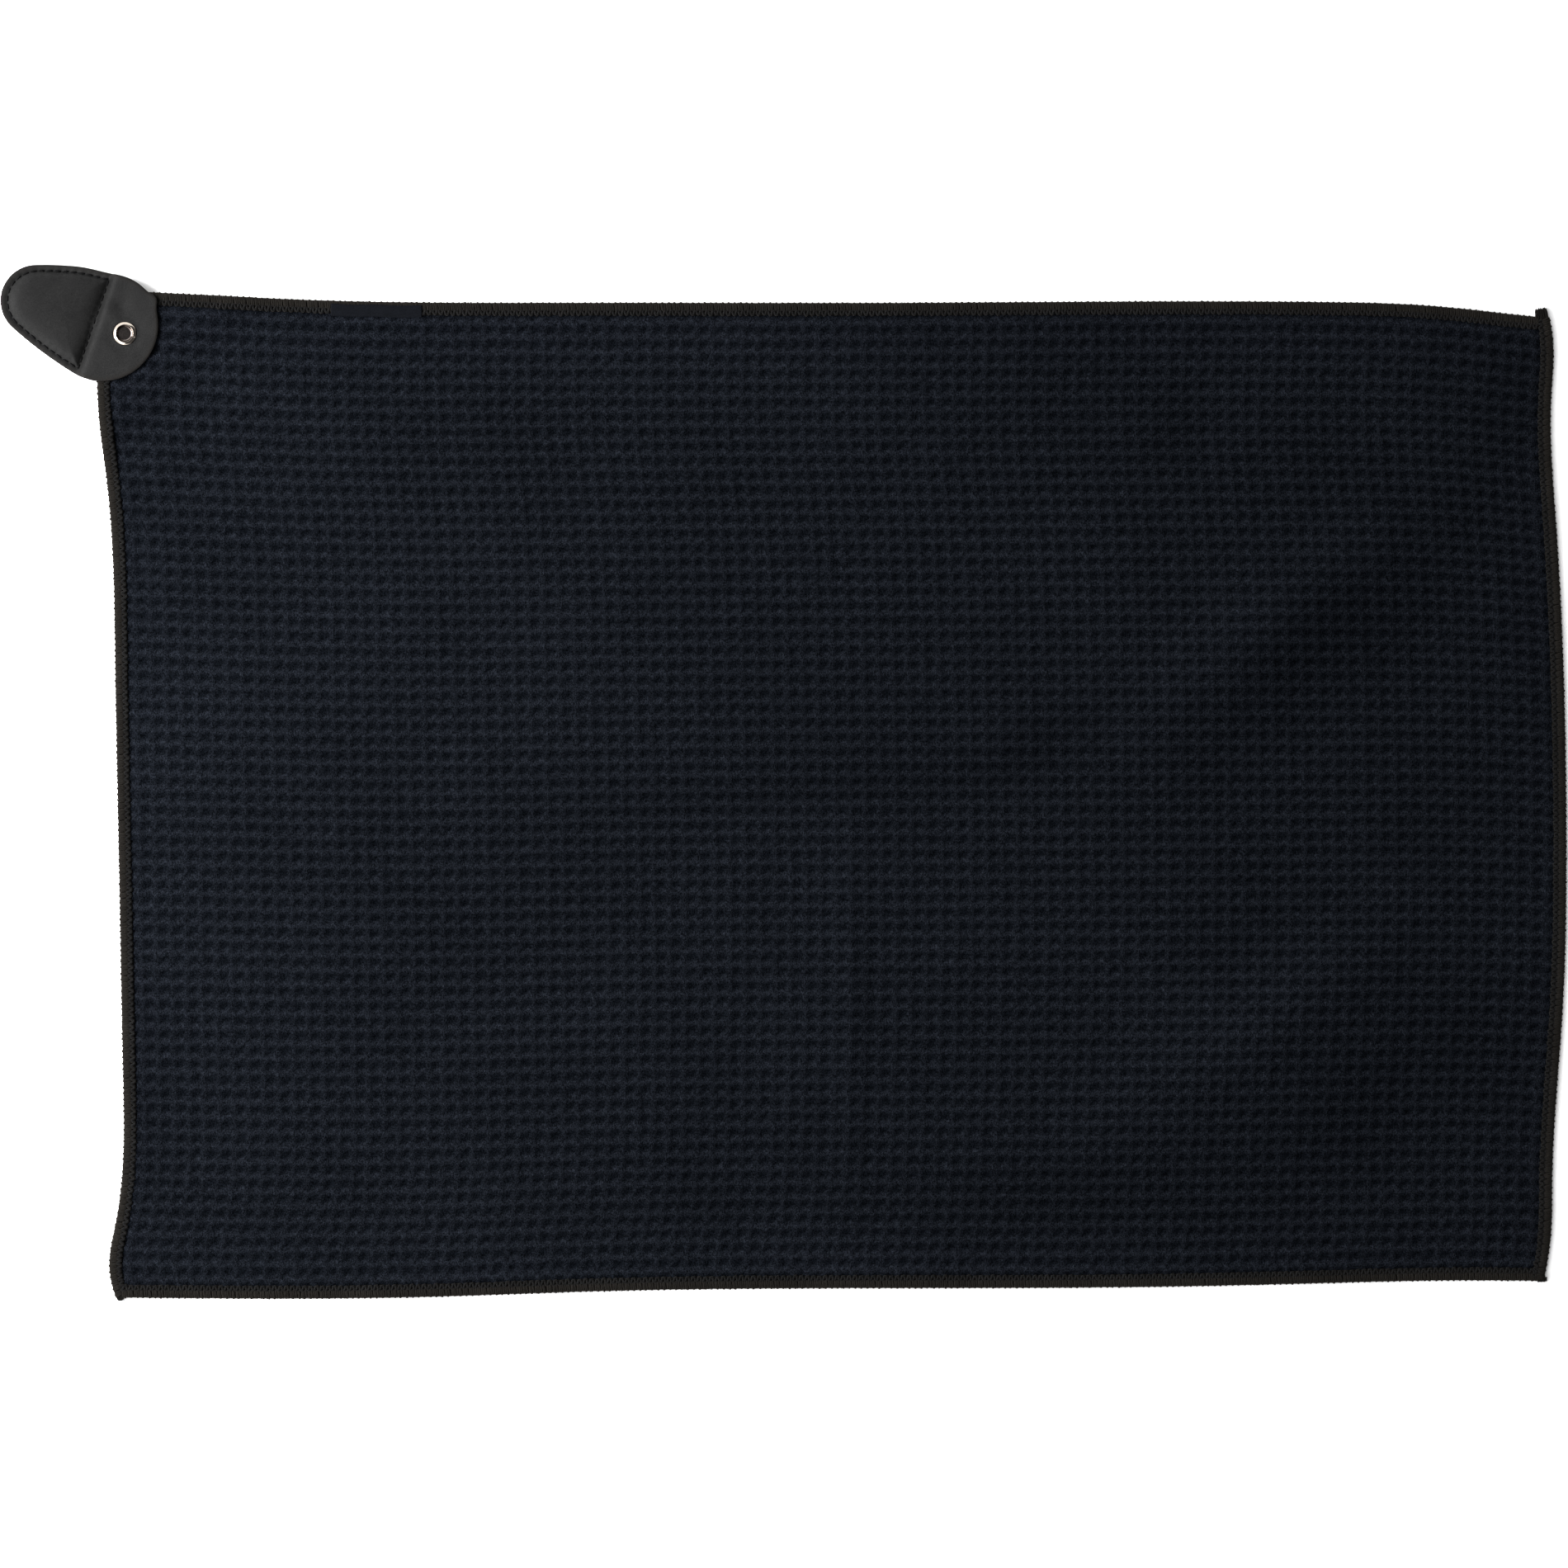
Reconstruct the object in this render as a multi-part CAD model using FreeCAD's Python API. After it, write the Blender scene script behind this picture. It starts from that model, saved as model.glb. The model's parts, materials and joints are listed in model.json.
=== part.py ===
"""Golf towel with a magnetic leather tab: waffle cloth with an overlocked edge, and a sewn
leather tab that holds a magnet and is snapped through one corner of the cloth.

Millimetres. X runs along the towel's length, Y across it, +Z up. The towel lies flat and face up,
with the origin under the centre of its bounding box, on the surface that it lies on.
Each sub-part is written to parts/NAME.step.
"""

import FreeCAD, Part

import math
import os

Vector = FreeCAD.Vector
UP = Vector(0, 0, 1)

# Cloth and its overlocked edge. The corner under the tab is lifted over the tab's back flap.
CLOTH_THICK = 1.8
HEM_WRAP = 0.2  # thread above and below the cloth
HEM_EDGE = 0.6  # thread beyond the cloth's cut edge
HEM_WIDTH = 5.6
LIFT = 2.65
LIFT_REACH = 18.5  # lifted as far as this from the snap, towards the middle of the towel
RAMP_LENGTH = 16.0
LABEL_LENGTH = 38.0
LABEL_WIDTH = 5.0
LABEL_THICK = 0.15
LABEL_START = (-189.3, 200.3)  # its top left corner

# Outline of the towel as it lies, corner to corner on each side.
TOP_SIDE = [
    (-287.1, 206.3), (-260.2, 205.1), (-189.5, 202.0), (-86.0, 201.1), (51.9, 201.1),
    (224.3, 201.4), (272.6, 199.6), (310.5, 195.6), (319.8, 194.7),
]
RIGHT_SIDE = [
    (319.8, 194.7), (321.2, 185.8), (320.5, 161.6), (322.2, 113.3), (326.8, -31.5),
    (325.3, -93.6), (320.9, -166.0), (320.2, -190.1), (317.4, -208.0),
]
BOTTOM_SIDE = [
    (317.4, -208.0), (286.4, -207.7), (224.3, -208.9), (155.3, -210.4), (17.4, -211.0),
    (-86.0, -212.5), (-148.1, -214.6), (-224.0, -215.3), (-279.5, -214.9),
]
LEFT_SIDE = [
    (-279.5, -214.9), (-282.1, -203.9), (-279.5, -183.2), (-276.5, -121.1), (-278.1, -38.4),
    (-279.8, 51.3), (-282.6, 120.2), (-286.4, 154.7), (-287.1, 172.0), (-287.1, 206.3),
]
INWARD = {"top": (0, -1), "right": (-1, 0), "bottom": (0, 1), "left": (1, 0)}
SIDES = {"top": TOP_SIDE, "right": RIGHT_SIDE, "bottom": BOTTOM_SIDE, "left": LEFT_SIDE}

# Cut ends of the overlock chain: middle of the root, heading in degrees, width, length.
TAILS = [
    ((316.0, 194.9), 95.0, 5.0, 4.0),
    ((315.6, -207.9), -85.0, 4.6, 1.4),
    ((-277.4, -215.0), -85.0, 3.4, 1.7),
]
TAIL_TAPER = 0.55
TAIL_HEIGHTS = (0.3, 1.7)

# Tab. Its own axes are U from the snap towards the tip, and V across it.
SNAP_AT = (-274.9, 187.6)
TAB_HEADING = 159.5  # degrees from +X to the tip
LEATHER = 1.1
FLAP_CENTRE = 10.0
FLAP_RADIUS = 23.2
TIP_CENTRE = 39.8
TIP_RADIUS = 14.9
FLANK_RADIUS = 170.0

# Heights in the tab.
CAP_HEIGHT = 1.0
SEAM = CAP_HEIGHT + LEATHER  # where the two leathers meet
FLAP_UNDER = 5.15
POCKET_DEPTH = 1.0  # how far the back leather bulges below the seam
POCKET_RISE = 2.0  # how far the front leather bulges above it

# Seam round the magnet pocket.
SEAM_U = 13.45
SEAM_MARGIN = 2.6
STITCH_PITCH = 3.4
STITCH_LENGTH = 2.5
STITCH_RADIUS = 0.35
POCKET_CLEAR = 0.55  # from the seam to the foot of the bulge
POCKET_SLOPE = 2.2  # from the foot of the bulge to its flat top
HINGE_U = 13.0
HINGE_GAP = 0.05  # from the hinge line to each of the two front leathers
HINGE_Z = SEAM + LEATHER + 2 * HINGE_GAP
FLAP_STEP_U = 11.0  # the front flap reaches its full height here
SWIVEL_RANGE = (-30.0, 15.0)
CORNER_REACH = 10.8  # the hidden corner of the cloth is trimmed this far from the snap

# Magnet and its foam surround.
MAGNET_U = 30.0
MAGNET_RADIUS = 12.5
MAGNET_FIT = 0.2

# Snap fastener.
POST_RADIUS = 1.9
RING_RADIUS = 5.2
WELL_RADIUS = 3.3
RING_HEIGHT = 0.85
STUD_FLANGE = 0.3
STUD_BOTTOM = 2.75
STUD_INSIDE = 3.6
SOCKET_RADIUS = 5.0
SOCKET_TOP = 4.1
SOCKET_BORE = 2.75
SOCKET_FLOOR = 2.5
GROOVE_RADIUS = 3.35
GROOVE_Z = (3.1, 3.7)
SPRING_WIRE = 0.25
CAP_RADIUS = 6.2
CLOTH_HOLE = 5.5
PINCH_HOLE = 3.2
PINCH_UNDER = 4.2

FAR = 900.0  # larger than the towel, for cutting tools


def vec(point, z=0.0):
    return Vector(point[0], point[1], z)


def spline(points, z=0.0):
    curve = Part.BSplineCurve()
    curve.interpolate([vec(p, z) for p in points])
    return curve.toShape()


def line(a, b, z=0.0):
    return Part.makeLine(vec(a, z), vec(b, z))


def arc(a, through, b, z=0.0):
    return Part.Arc(vec(a, z), vec(through, z), vec(b, z)).toShape()


def prism(edges, low, high):
    """Closed outline drawn at z 0, filled from low to high."""
    face = Part.Face(Part.Wire(edges))
    face.translate(UP * low)
    return face.extrude(UP * (high - low))


def polygon_prism(points, low, high):
    edges = [line(a, b) for a, b in zip(points, points[1:] + points[:1])]
    return prism(edges, low, high)


def revolved(edges):
    """Solid of revolution about Z from a closed outline in the XZ plane."""
    outline = Part.Wire(Part.__sortEdges__(edges))
    return Part.Face(outline).revolve(Vector(0, 0, 0), UP, 360)


def profile_line(*points):
    """Straight edges through (radius, z) points."""
    corners = [Vector(r, 0, z) for r, z in points]
    return [Part.makeLine(a, b) for a, b in zip(corners, corners[1:])]


def profile_arc(a, through, b):
    return [Part.Arc(*[Vector(r, 0, z) for r, z in (a, through, b)]).toShape()]


def profile_dome(rim, top_z):
    """Arc from a rim (radius, z) to the axis at top_z, of a sphere that is centred on the axis."""
    radius, z = rim
    rise = top_z - z
    sphere = (radius**2 + rise**2) / (2 * abs(rise))
    drop = sphere - math.sqrt(sphere**2 - radius**2 / 4)
    return profile_arc(rim, (radius / 2, top_z - math.copysign(drop, rise)), (0, top_z))


# Towel


def moved_in(name, distance):
    """A side's points moved towards the middle, with its two corners moved along both axes."""
    dx, dy = INWARD[name]
    points = [(x + dx * distance, y + dy * distance) for x, y in SIDES[name]]
    for end in (0, -1):
        x, y = SIDES[name][end]
        points[end] = (x - math.copysign(distance, x), y - math.copysign(distance, y))
    return points


def towel_outline(distance):
    return [spline(moved_in(name, distance)) for name in SIDES]


def edge_strip(name):
    """The band along one side, as wide as the hem, over the side's whole length."""
    dx, dy = INWARD[name]
    outer = SIDES[name]
    inner = [(x + dx * HEM_WIDTH, y + dy * HEM_WIDTH) for x, y in outer]
    edges = [spline(outer), line(outer[-1], inner[-1]), spline(inner), line(inner[0], outer[0])]
    return prism(Part.__sortEdges__(edges), -1.0, 9.0)


def lifted_sheet(low, high):
    """A level sheet whose corner at the snap is lifted over the tab's back flap."""
    ramp_end = LIFT_REACH + RAMP_LENGTH
    under = [(-FAR, LIFT), (LIFT_REACH, LIFT), (ramp_end, 0), (FAR, 0)]
    lower = [Vector(s, -FAR, low + z) for s, z in under]
    upper = [Vector(s, -FAR, high + z) for s, z in reversed(under)]
    face = Part.Face(Part.makePolygon(lower + upper + lower[:1]))
    sheet = face.extrude(Vector(0, 2 * FAR, 0))
    sheet.rotate(Vector(0, 0, 0), UP, -45)
    sheet.translate(vec(SNAP_AT))
    return sheet


def corner_trim():
    """Cuts off the hidden corner of the cloth, clear of the tab's seam over its whole swivel."""
    headings = [math.radians(TAB_HEADING + turn) for turn in SWIVEL_RANGE]
    middle = math.radians(TAB_HEADING + sum(SWIVEL_RANGE) / 2)
    toward = [Vector(math.cos(h), math.sin(h), 0) for h in headings]
    across = [Vector(math.sin(h), -math.cos(h), 0) for h in headings]
    near = [t * CORNER_REACH for t in toward]
    ends = [near[0] + across[0] * FAR, near[1] - across[1] * FAR]
    beyond = [near[0] + toward[0] * FAR, near[1] + toward[1] * FAR]
    bulge = Vector(math.cos(middle), math.sin(middle), 0) * CORNER_REACH
    edges = [
        Part.makeLine(ends[0], near[0]),
        Part.Arc(near[0], bulge, near[1]).toShape(),
        Part.makeLine(near[1], ends[1]),
        Part.makeLine(ends[1], ends[1] + beyond[1]),
        Part.makeLine(ends[1] + beyond[1], ends[0] + beyond[0]),
        Part.makeLine(ends[0] + beyond[0], ends[0]),
    ]
    cutter = prism(edges, -1.0, 9.0)
    cutter.translate(vec(SNAP_AT))
    return cutter


def towel_cloth():
    body = prism(towel_outline(HEM_EDGE), -1.0, 9.0)
    sheet = body.common(lifted_sheet(HEM_WRAP, HEM_WRAP + CLOTH_THICK)).cut(corner_trim())
    hole = Part.makeCylinder(CLOTH_HOLE, PINCH_UNDER, vec(SNAP_AT))
    pinch = Part.makeCylinder(PINCH_HOLE, 9.0, vec(SNAP_AT))
    return sheet.cut(hole).cut(pinch)


def hem(name, cloth):
    """Overlock thread that wraps one side's cut edge. The side runs pass over the ends of the others."""
    strip = edge_strip(name)
    if name in ("top", "bottom"):
        strip = strip.cut(edge_strip("left")).cut(edge_strip("right"))
    outline = prism(towel_outline(0.0), -1.0, 9.0)
    wrap = strip.common(outline).common(lifted_sheet(0.0, CLOTH_THICK + 2 * HEM_WRAP))
    return wrap.cut(corner_trim()).cut(cloth)


def thread_tails():
    """The short cut ends of the overlock chain at three corners."""
    tails = []
    for root, heading, width, length in TAILS:
        tip = width * TAIL_TAPER
        corners = [(0, -width / 2), (length, -tip / 2), (length, tip / 2), (0, width / 2)]
        tail = polygon_prism(corners, *TAIL_HEIGHTS)
        tail.rotate(Vector(0, 0, 0), UP, heading)
        tail.translate(vec(root))
        outline = prism(towel_outline(0.0), -1.0, 9.0)
        tails.append(tail.cut(outline))
    return Part.makeCompound(tails)


def hem_label():
    """Blank ribbon label on a short stretch of the top hem, with its lower edge on the cloth."""
    top = CLOTH_THICK + 2 * HEM_WRAP
    x, y = LABEL_START
    return Part.makeBox(LABEL_LENGTH, LABEL_WIDTH, LABEL_THICK, Vector(x, y - LABEL_WIDTH, top))


# Tab outlines, in the tab's own axes


def flank(margin, side):
    """Centre and radius of the shallow arc that joins the flap's circle to the tip's circle."""
    near, far = FLANK_RADIUS - FLAP_RADIUS, FLANK_RADIUS - TIP_RADIUS
    span = TIP_CENTRE - FLAP_CENTRE
    u = FLAP_CENTRE + (near**2 - far**2 + span**2) / (2 * span)
    v = math.sqrt(near**2 - (u - FLAP_CENTRE) ** 2)
    return (u, -side * v), FLANK_RADIUS - margin


def flank_point(margin, side, u):
    (cu, cv), radius = flank(margin, side)
    return (u, cv + side * math.sqrt(radius**2 - (u - cu) ** 2))


def flank_end(margin, side, centre):
    """Where the flank arc meets the circle about (centre, 0)."""
    (cu, cv), radius = flank(margin, side)
    reach = math.hypot(centre - cu, -cv)
    return (cu + (centre - cu) * radius / reach, cv - cv * radius / reach)


def tip_edges(margin, start_u, z):
    """The outline beyond start_u: flank, tip and flank, open towards the flap."""
    ends = [flank_end(margin, side, TIP_CENTRE) for side in (1, -1)]
    starts = [flank_point(margin, side, start_u) for side in (1, -1)]
    halfway = [flank_point(margin, side, (start_u + ends[0][0]) / 2) for side in (1, -1)]
    return [
        arc(starts[0], halfway[0], ends[0], z),
        arc(ends[0], (TIP_CENTRE + TIP_RADIUS - margin, 0), ends[1], z),
        arc(ends[1], halfway[1], starts[1], z),
    ]


def pocket_wire(margin, start_u, z):
    closing = line(flank_point(margin, -1, start_u), flank_point(margin, 1, start_u), z)
    return Part.Wire(tip_edges(margin, start_u, z) + [closing])


def tab_edges():
    """The whole outline of the tab."""
    joints = [flank_end(0, side, FLAP_CENTRE) for side in (1, -1)]
    flap_arc = arc(joints[1], (FLAP_CENTRE - FLAP_RADIUS, 0), joints[0])
    return tip_edges(0, joints[0][0], 0.0) + [flap_arc]


def bulge(foot_z, top_z):
    """Tapered block of the magnet pocket, from its foot at the seam to its flat face."""
    foot = SEAM_MARGIN + POCKET_CLEAR
    start = SEAM_U + POCKET_CLEAR
    wires = [
        pocket_wire(foot, start, foot_z),
        pocket_wire(foot + POCKET_SLOPE, start + POCKET_SLOPE, top_z),
    ]
    return Part.makeLoft(wires, True, True)


def in_place(shape):
    """From the tab's own axes to the towel's."""
    placed = shape.copy()
    placed.rotate(Vector(0, 0, 0), UP, TAB_HEADING)
    placed.translate(vec(SNAP_AT))
    return placed


def side_of(u, beyond):
    """Block that keeps what lies on one side of a line across the tab."""
    start = u if beyond else u - FAR
    return Part.makeBox(FAR, FAR, 40, Vector(start, -FAR / 2, -10))


# Tab


def back_leather():
    plate = prism(tab_edges(), CAP_HEIGHT, SEAM)
    pan = plate.fuse(bulge(CAP_HEIGHT, CAP_HEIGHT - POCKET_DEPTH))
    pan = pan.cut(bulge(SEAM, SEAM - POCKET_DEPTH))
    return pan.cut(Part.makeCylinder(POST_RADIUS, 9.0))


def front_pocket_leather():
    top = SEAM + LEATHER
    plate = prism(tab_edges(), SEAM, top).common(side_of(HINGE_U + HINGE_GAP, True))
    return plate.fuse(bulge(top, top + POCKET_RISE)).cut(bulge(SEAM, SEAM + POCKET_RISE))


def front_flap_leather():
    """Front flap: it rises from the seam and lies over the cloth."""
    end_u = HINGE_U - HINGE_GAP
    step = [(-FAR, FLAP_UNDER), (FLAP_STEP_U, FLAP_UNDER), (end_u, SEAM + 2 * HINGE_GAP)]
    lower = [Vector(u, -FAR / 2, z) for u, z in step]
    upper = [Vector(u, -FAR / 2, z + LEATHER) for u, z in reversed(step)]
    face = Part.Face(Part.makePolygon(lower + upper + lower[:1]))
    sheet = face.extrude(Vector(0, FAR, 0))
    flap = prism(tab_edges(), -1.0, 9.0).common(sheet)
    return flap.cut(Part.makeCylinder(POST_RADIUS, 12.0))


def foam_pad():
    foot = SEAM_MARGIN + POCKET_CLEAR + POCKET_SLOPE
    wire = pocket_wire(foot, SEAM_U + POCKET_CLEAR + POCKET_SLOPE, SEAM - POCKET_DEPTH)
    pad = Part.Face(wire).extrude(UP * (POCKET_DEPTH + POCKET_RISE))
    hole = Part.makeCylinder(MAGNET_RADIUS + MAGNET_FIT, 9.0, Vector(MAGNET_U, 0, 0))
    return pad.cut(hole)


def magnet():
    base = Vector(MAGNET_U, 0, SEAM - POCKET_DEPTH)
    disc = Part.makeCylinder(MAGNET_RADIUS, POCKET_DEPTH + POCKET_RISE, base)
    return disc.makeChamfer(0.3, disc.Edges)


def stitches(z, upward):
    """One lockstitch run round the pocket: half-round stitches lying on the leather."""
    run = pocket_wire(SEAM_MARGIN, SEAM_U, z)
    count = round(run.Length / STITCH_PITCH)
    start = Vector(-STITCH_LENGTH / 2, 0, 0)
    bar = Part.makeCylinder(STITCH_RADIUS, STITCH_LENGTH, start, Vector(1, 0, 0))
    keep = Part.makeBox(9, 9, 9, Vector(-4.5, -4.5, 0 if upward else -9))
    bar = bar.common(keep)
    points = run.discretize(Number=2 * count + 1)
    made = []
    for before, at, after in zip(points[0::2], points[1::2], points[2::2]):
        stitch = bar.copy()
        heading = math.degrees(math.atan2(after.y - before.y, after.x - before.x))
        stitch.rotate(Vector(0, 0, 0), UP, heading)
        stitch.translate(at)
        made.append(stitch)
    return Part.makeCompound(made)


# Snap fastener, about the Z axis


def snap_post():
    """Ring-shaped head on the front flap, with a shallow well, on a pin that holds the stud."""
    face = FLAP_UNDER + LEATHER
    crown = ((RING_RADIUS + WELL_RADIUS) / 2, face + RING_HEIGHT)
    outer = (RING_RADIUS - 0.2, face + RING_HEIGHT * 0.62)
    inner = (WELL_RADIUS + 0.12, face + RING_HEIGHT * 0.62)
    return revolved(
        profile_line((0, STUD_INSIDE), (POST_RADIUS, STUD_INSIDE))
        + profile_line((POST_RADIUS, STUD_INSIDE), (POST_RADIUS, face), (RING_RADIUS, face))
        + profile_arc((RING_RADIUS, face), outer, crown)
        + profile_arc(crown, inner, (WELL_RADIUS, face + 0.05))
        + profile_dome((WELL_RADIUS, face + 0.05), face + 0.2)
        + profile_line((0, face + 0.2), (0, STUD_INSIDE))
    )


def snap_stud():
    """Male half under the front flap."""
    base = FLAP_UNDER - STUD_FLANGE
    return revolved(
        profile_line((POST_RADIUS, STUD_INSIDE), (POST_RADIUS, FLAP_UNDER), (4.6, FLAP_UNDER))
        + profile_line((4.6, FLAP_UNDER), (4.6, base), (2.5, base))
        + profile_arc((2.5, base), (2.15, 4.2), (2.45, 3.5))
        + profile_arc((2.45, 3.5), (2.25, 3.0), (1.7, STUD_BOTTOM))
        + profile_line((1.7, STUD_BOTTOM), (0, STUD_BOTTOM))
        + profile_line((0, STUD_BOTTOM), (0, STUD_INSIDE), (POST_RADIUS, STUD_INSIDE))
    )


def snap_socket():
    """Female half on the inner face of the back flap, with a groove for its spring."""
    low, high = GROOVE_Z
    return revolved(
        profile_line((POST_RADIUS, SEAM), (SOCKET_RADIUS, SEAM), (SOCKET_RADIUS, SOCKET_TOP - 0.9))
        + profile_arc((SOCKET_RADIUS, SOCKET_TOP - 0.9), (4.55, SOCKET_TOP - 0.2), (3.7, SOCKET_TOP))
        + profile_line((3.7, SOCKET_TOP), (SOCKET_BORE + 0.25, SOCKET_TOP))
        + profile_line((SOCKET_BORE + 0.25, SOCKET_TOP), (SOCKET_BORE, SOCKET_TOP - 0.25))
        + profile_line((SOCKET_BORE, SOCKET_TOP - 0.25), (SOCKET_BORE, high), (GROOVE_RADIUS, high))
        + profile_line((GROOVE_RADIUS, high), (GROOVE_RADIUS, low), (SOCKET_BORE, low))
        + profile_line((SOCKET_BORE, low), (SOCKET_BORE, SOCKET_FLOOR), (POST_RADIUS, SOCKET_FLOOR))
        + profile_line((POST_RADIUS, SOCKET_FLOOR), (POST_RADIUS, SEAM))
    )


def socket_spring():
    """Split ring of wire in the socket's groove, which grips the stud."""
    middle = sum(GROOVE_Z) / 2
    ring = Part.makeTorus(GROOVE_RADIUS - SPRING_WIRE - 0.05, SPRING_WIRE, Vector(0, 0, middle))
    gap = Part.makeBox(6, 1.2, 2, Vector(0, -0.6, middle - 1))
    return ring.cut(gap)


def snap_cap():
    """Domed cap on the outside of the back flap, riveted through the leather into the socket."""
    shoulder = (CAP_RADIUS - 0.25, 0.6)
    rim = (CAP_RADIUS - 0.1, CAP_HEIGHT)
    return revolved(
        profile_dome(shoulder, 0)
        + profile_arc(shoulder, (CAP_RADIUS, 0.8), rim)
        + profile_line(rim, (POST_RADIUS, CAP_HEIGHT), (POST_RADIUS, SOCKET_FLOOR))
        + profile_line((POST_RADIUS, SOCKET_FLOOR), (0, SOCKET_FLOOR), (0, 0))
    )


def build():
    """Every sub-part by node name, in the towel's axes."""
    cloth = towel_cloth()
    parts = {"towel_cloth": cloth}
    for name in SIDES:
        parts[f"hem_{name}"] = hem(name, cloth)
    parts["thread_tails"] = thread_tails()
    parts["hem_label"] = hem_label()
    tab = {
        "back_leather": back_leather(),
        "front_pocket_leather": front_pocket_leather(),
        "front_flap_leather": front_flap_leather(),
        "foam_pad": foam_pad(),
        "magnet": magnet(),
        "seam_thread_front": stitches(SEAM + LEATHER, True),
        "seam_thread_back": stitches(CAP_HEIGHT, False),
        "snap_post": snap_post(),
        "snap_stud": snap_stud(),
        "snap_socket": snap_socket(),
        "socket_spring": socket_spring(),
        "snap_cap": snap_cap(),
    }
    parts.update({name: in_place(shape) for name, shape in tab.items()})
    return parts


def centred(parts):
    """Moves everything so that the origin is under the middle of the bounding box."""
    box = FreeCAD.BoundBox()
    for shape in parts.values():
        box.add(shape.optimalBoundingBox(False))
    shift = Vector(-box.Center.x, -box.Center.y, -box.ZMin)
    for shape in parts.values():
        shape.translate(shift)
    return shift, box


def main():
    parts = build()
    shift, box = centred(parts)
    os.makedirs("parts", exist_ok=True)
    for name, shape in parts.items():
        shape.exportStep(f"parts/{name}.step")
        print(f"{name}: {len(shape.Solids)} solids, {shape.Volume:.1f} mm3, valid {shape.isValid()}")
    print(f"size {box.XLength:.2f} x {box.YLength:.2f} x {box.ZLength:.2f}")
    for u, z in ((0, 0), (HINGE_U, HINGE_Z), (MAGNET_U, CAP_HEIGHT - POCKET_DEPTH)):
        point = in_place(Part.Vertex(u, 0, z)).Point + shift
        print(f"tab u {u:.2f} is at {point.x:.4f} {point.y:.4f} {point.z:.4f}")


main()
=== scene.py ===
"""The looks of a magnetic golf towel: waffle cloth, overlocked hems, and a stitched leather tab
that is snapped through one corner. Lengths in this file are millimetres in the row's axes, and
become metres when a mesh is made. The tab has axes of its own: U from the snap towards its tip,
V across it."""

import json
import math

import bmesh
import bpy
import numpy as np
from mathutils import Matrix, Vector, noise


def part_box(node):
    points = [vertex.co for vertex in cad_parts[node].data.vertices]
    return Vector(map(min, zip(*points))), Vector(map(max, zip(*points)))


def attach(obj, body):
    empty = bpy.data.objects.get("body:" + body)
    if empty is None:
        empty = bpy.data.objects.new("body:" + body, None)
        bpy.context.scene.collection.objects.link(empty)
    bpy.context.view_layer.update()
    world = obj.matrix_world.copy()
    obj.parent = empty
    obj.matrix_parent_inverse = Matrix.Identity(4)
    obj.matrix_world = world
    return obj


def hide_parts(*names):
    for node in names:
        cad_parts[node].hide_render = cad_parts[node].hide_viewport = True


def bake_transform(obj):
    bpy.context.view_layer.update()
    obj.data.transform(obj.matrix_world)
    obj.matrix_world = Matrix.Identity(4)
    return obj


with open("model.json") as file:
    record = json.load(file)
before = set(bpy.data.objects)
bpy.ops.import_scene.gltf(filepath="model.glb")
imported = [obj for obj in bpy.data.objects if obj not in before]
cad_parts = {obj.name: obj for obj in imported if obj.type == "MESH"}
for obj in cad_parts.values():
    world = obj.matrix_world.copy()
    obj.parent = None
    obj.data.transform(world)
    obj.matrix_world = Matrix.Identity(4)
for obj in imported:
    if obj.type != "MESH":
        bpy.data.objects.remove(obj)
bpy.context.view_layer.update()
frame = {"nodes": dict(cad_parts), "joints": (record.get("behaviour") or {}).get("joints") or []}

MM = 0.001
rng = np.random.default_rng(7)

# Places that come from the frame
joints = {joint["name"]: joint for joint in frame["joints"]}
SNAP = np.array(joints["tab_swivel"]["pos_m"][:2]) / MM
ACROSS = np.array(joints["flap_open"]["axis"][:2])
ALONG = np.array([ACROSS[1], -ACROSS[0]])
SWIVEL = joints["tab_swivel"]["range_deg"]

# Towel
SNAP_DRAWN = (-274.9, 187.6)  # the snap in the axes that the outline is drawn in
SIDES = {
    "top": [
        (-287.1, 206.3), (-260.2, 205.1), (-189.5, 202.0), (-86.0, 201.1), (51.9, 201.1),
        (224.3, 201.4), (272.6, 199.6), (310.5, 195.6), (319.8, 194.7),
    ],
    "right": [
        (319.8, 194.7), (321.2, 185.8), (320.5, 161.6), (322.2, 113.3), (326.8, -31.5),
        (325.3, -93.6), (320.9, -166.0), (320.2, -190.1), (317.4, -208.0),
    ],
    "bottom": [
        (317.4, -208.0), (286.4, -207.7), (224.3, -208.9), (155.3, -210.4), (17.4, -211.0),
        (-86.0, -212.5), (-148.1, -214.6), (-224.0, -215.3), (-279.5, -214.9),
    ],
    "left": [
        (-279.5, -214.9), (-282.1, -203.9), (-279.5, -183.2), (-276.5, -121.1), (-278.1, -38.4),
        (-279.8, 51.3), (-282.6, 120.2), (-286.4, 154.7), (-287.1, 172.0), (-287.1, 206.3),
    ],
}
INWARD = {"top": (0, -1), "right": (-1, 0), "bottom": (0, 1), "left": (1, 0)}
COLUMNS, ROWS = 95, 67
STEPS_ACROSS, STEPS_UP = 4, 3  # mesh steps in one waffle cell
CLOTH_EDGE = 2.5  # the cloth ends this far inside the hem's outer edge
CLOTH_LOW, CLOTH_CREST, PIT_DEPTH = 0.15, 2.0, 1.15
LIFT, LIFT_FROM, LIFT_TO = 2.65, 17.0, 36.0
CORNER_REACH = 10.6
SNAP_HOLE = 5.4
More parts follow.
